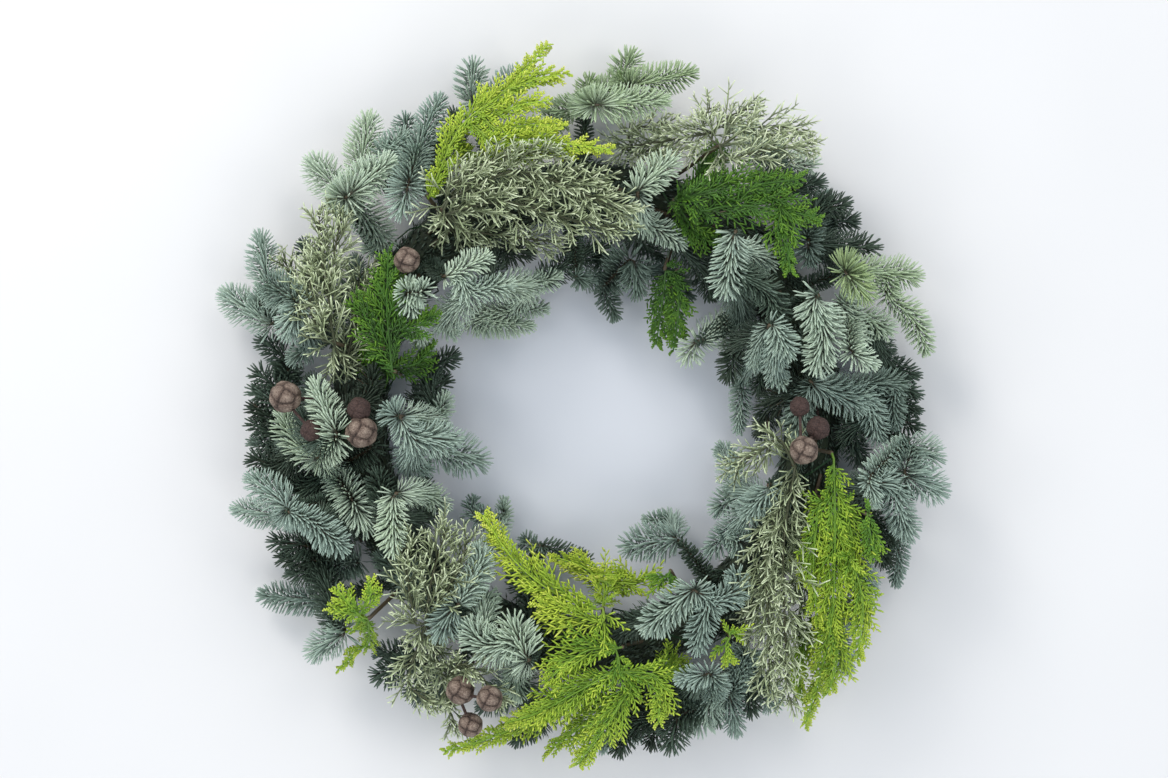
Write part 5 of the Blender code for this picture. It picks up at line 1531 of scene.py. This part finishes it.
def ring_greens():
    """Places are drawn on the ring's triangles in proportion to their areas. A blade leaves along
    0.55 normal + 0.8 clockwise, and bends down along the ring."""
    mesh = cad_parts["wrapped_ring"].data
    mesh.calc_loop_triangles()
    corners = np.empty(len(mesh.vertices) * 3, np.float32)
    mesh.vertices.foreach_get("co", corners)
    triangles = np.empty(len(mesh.loop_triangles) * 3, np.int32)
    mesh.loop_triangles.foreach_get("vertices", triangles)
    corners = corners.reshape(-1, 3)[triangles.reshape(-1, 3)].astype(float) / MM + OUTLINE_MIDDLE
    normals = np.cross(corners[:, 1] - corners[:, 0], corners[:, 2] - corners[:, 0])
    areas = np.linalg.norm(normals, axis=1)
    normals = normals / areas[:, None]
    areas = np.where(normals[:, 2] > FACING_UP, areas, 0.0)
    random = np.random.default_rng((SEED, RING_SEED))
    chosen = random.choice(len(areas), RING_BLADES, p=areas / areas.sum())
    first, second = np.sort(random.uniform(0, 1, (2, RING_BLADES)), axis=0)
    weights = np.stack([first, second - first, 1 - second], axis=1)
    roots = (corners[chosen] * weights[..., None]).sum(1) - 0.4 * normals[chosen]
    outward = unit(roots * (1, 1, 0))
    clockwise = np.stack([outward[:, 1], -outward[:, 0], np.zeros(RING_BLADES)], axis=1)
    begin = unit(0.55 * normals[chosen] + 0.8 * clockwise + random.normal(0, 0.3, (RING_BLADES, 3)))
    end = unit(begin + 0.5 * clockwise - 0.2 * normals[chosen])
    lengths = random.uniform(*BLADE_LENGTH, RING_BLADES)
    tones = random.uniform(*SHADED_BLADE_TONE, RING_BLADES)
    growth = Growth()
    blades(growth, roots, begin, end, lengths, NEEDLE_WIDTH, NEEDLE_DEPTH, normals[chosen], tones,
           RING_BLADE)
    return growth

# %% The ring and the wire keep their CAD meshes
piece("ring_greens", ring_greens(), fir_finish, stands_for=False)
for name, material in (("wrapped_ring", ring_tape), ("binding_wire", green_wire)):
    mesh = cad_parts[name].data
    mesh.materials.clear()
    mesh.materials.append(material)
    print(name, "keeps", len(mesh.polygons), "faces and gets", material.name)

# %% [markdown]
# ## The studio
#
# The photograph is bright and soft: a white surface, light from all round, and a little more of it
# from the upper left. Six lamps in a circle stand for a light tent, and one broad lamp for the window.
# The wreath lies on its back, so the camera looks straight down on it.

# %% Floor
# Painted shade: a cool grey disc on the floor inside the ring, where the wreath shades it.
HOLE_PAINTED_SHADE = shade(223, 226, 235)
PAINTED_SHADE_RADIUS = 0.2
FLOOR_HALF = 4.0


def floor_finish():
    """Matt white with the faintest grain. Inside the ring it is a cool grey: painted shade."""
    sheet = Sheet("pale_floor", 0.9)
    place = sheet.object_place()
    outer = sheet.ramp(sheet.noise(place, 3.0, 2.0),
                       colour_stops((0.2, 228, 227, 229), (0.8, 233, 232, 234)))
    length = sheet.node("ShaderNodeVectorMath", {"operation": "LENGTH"}, {0: place})
    distance = Value(sheet, length.outputs["Value"])
    return sheet.colour(sheet.mix(distance > PAINTED_SHADE_RADIUS, HOLE_PAINTED_SHADE, outer))


floor_mesh = bpy.data.meshes.new("floor")
floor_corners = [(x * FLOOR_HALF, y * FLOOR_HALF, 0.0) for x, y in ((-1, -1), (1, -1), (1, 1), (-1, 1))]
floor_mesh.from_pydata(floor_corners, [], [(0, 1, 2, 3)])
floor_mesh.materials.append(floor_finish())
floor = bpy.data.objects.new("floor", floor_mesh)
bpy.context.scene.collection.objects.link(floor)
print("floor:", 2 * FLOOR_HALF, "m wide")

# %% Light
SKY_COLOUR = (0.69, 0.84, 1.0, 1.0)
SKY_STRENGTH = 0.5
LAMP_COLOUR = (1.0, 0.96, 0.89)
TENT_LAMPS = 6
TENT_RADIUS, TENT_HEIGHT = 2.0, 1.7
TENT_SIZE, TENT_POWER = 1.2, 12.3
BROAD_PLACE = (-1.3, 1.9, 1.4)
BROAD_SIZE, BROAD_POWER = 1.0, 26.0

world = bpy.data.worlds.new("soft_light")
bpy.context.scene.world = world
world.use_nodes = True
sky = world.node_tree.nodes["Background"].inputs
sky["Color"].default_value = SKY_COLOUR
sky["Strength"].default_value = SKY_STRENGTH


def lamp(name, place, size, power):
    """A square area light that faces the wreath's middle."""
    data = bpy.data.lights.new(name, "AREA")
    data.size, data.energy, data.color = size, power, LAMP_COLOUR
    made = bpy.data.objects.new(name, data)
    made.location = place
    made.rotation_euler = Vector(-np.array(place)).to_track_quat("-Z", "Y").to_euler()
    bpy.context.scene.collection.objects.link(made)


for side in range(TENT_LAMPS):
    turn = side * math.pi / (TENT_LAMPS / 2)
    place = (TENT_RADIUS * math.cos(turn), TENT_RADIUS * math.sin(turn), TENT_HEIGHT)
    lamp(f"tent_lamp_{side}", place, TENT_SIZE, TENT_POWER)
lamp("broad_lamp", BROAD_PLACE, BROAD_SIZE, BROAD_POWER)
print("lamps:", len(bpy.data.lights))

# %% Camera
CAMERA_PLACE = (0.0043, 0.01165, 1.67)
CAMERA_LENS = 58.0
SENSOR_WIDTH = 36.0
camera_data = bpy.data.cameras.new("camera")
camera_data.lens = CAMERA_LENS
camera_data.sensor_width = SENSOR_WIDTH
camera = bpy.data.objects.new("camera", camera_data)
camera.location = CAMERA_PLACE
bpy.context.scene.collection.objects.link(camera)
bpy.context.scene.camera = camera
bpy.context.scene.view_settings.view_transform = "Standard"
print("camera at", CAMERA_PLACE, "with a", CAMERA_LENS, "mm lens")
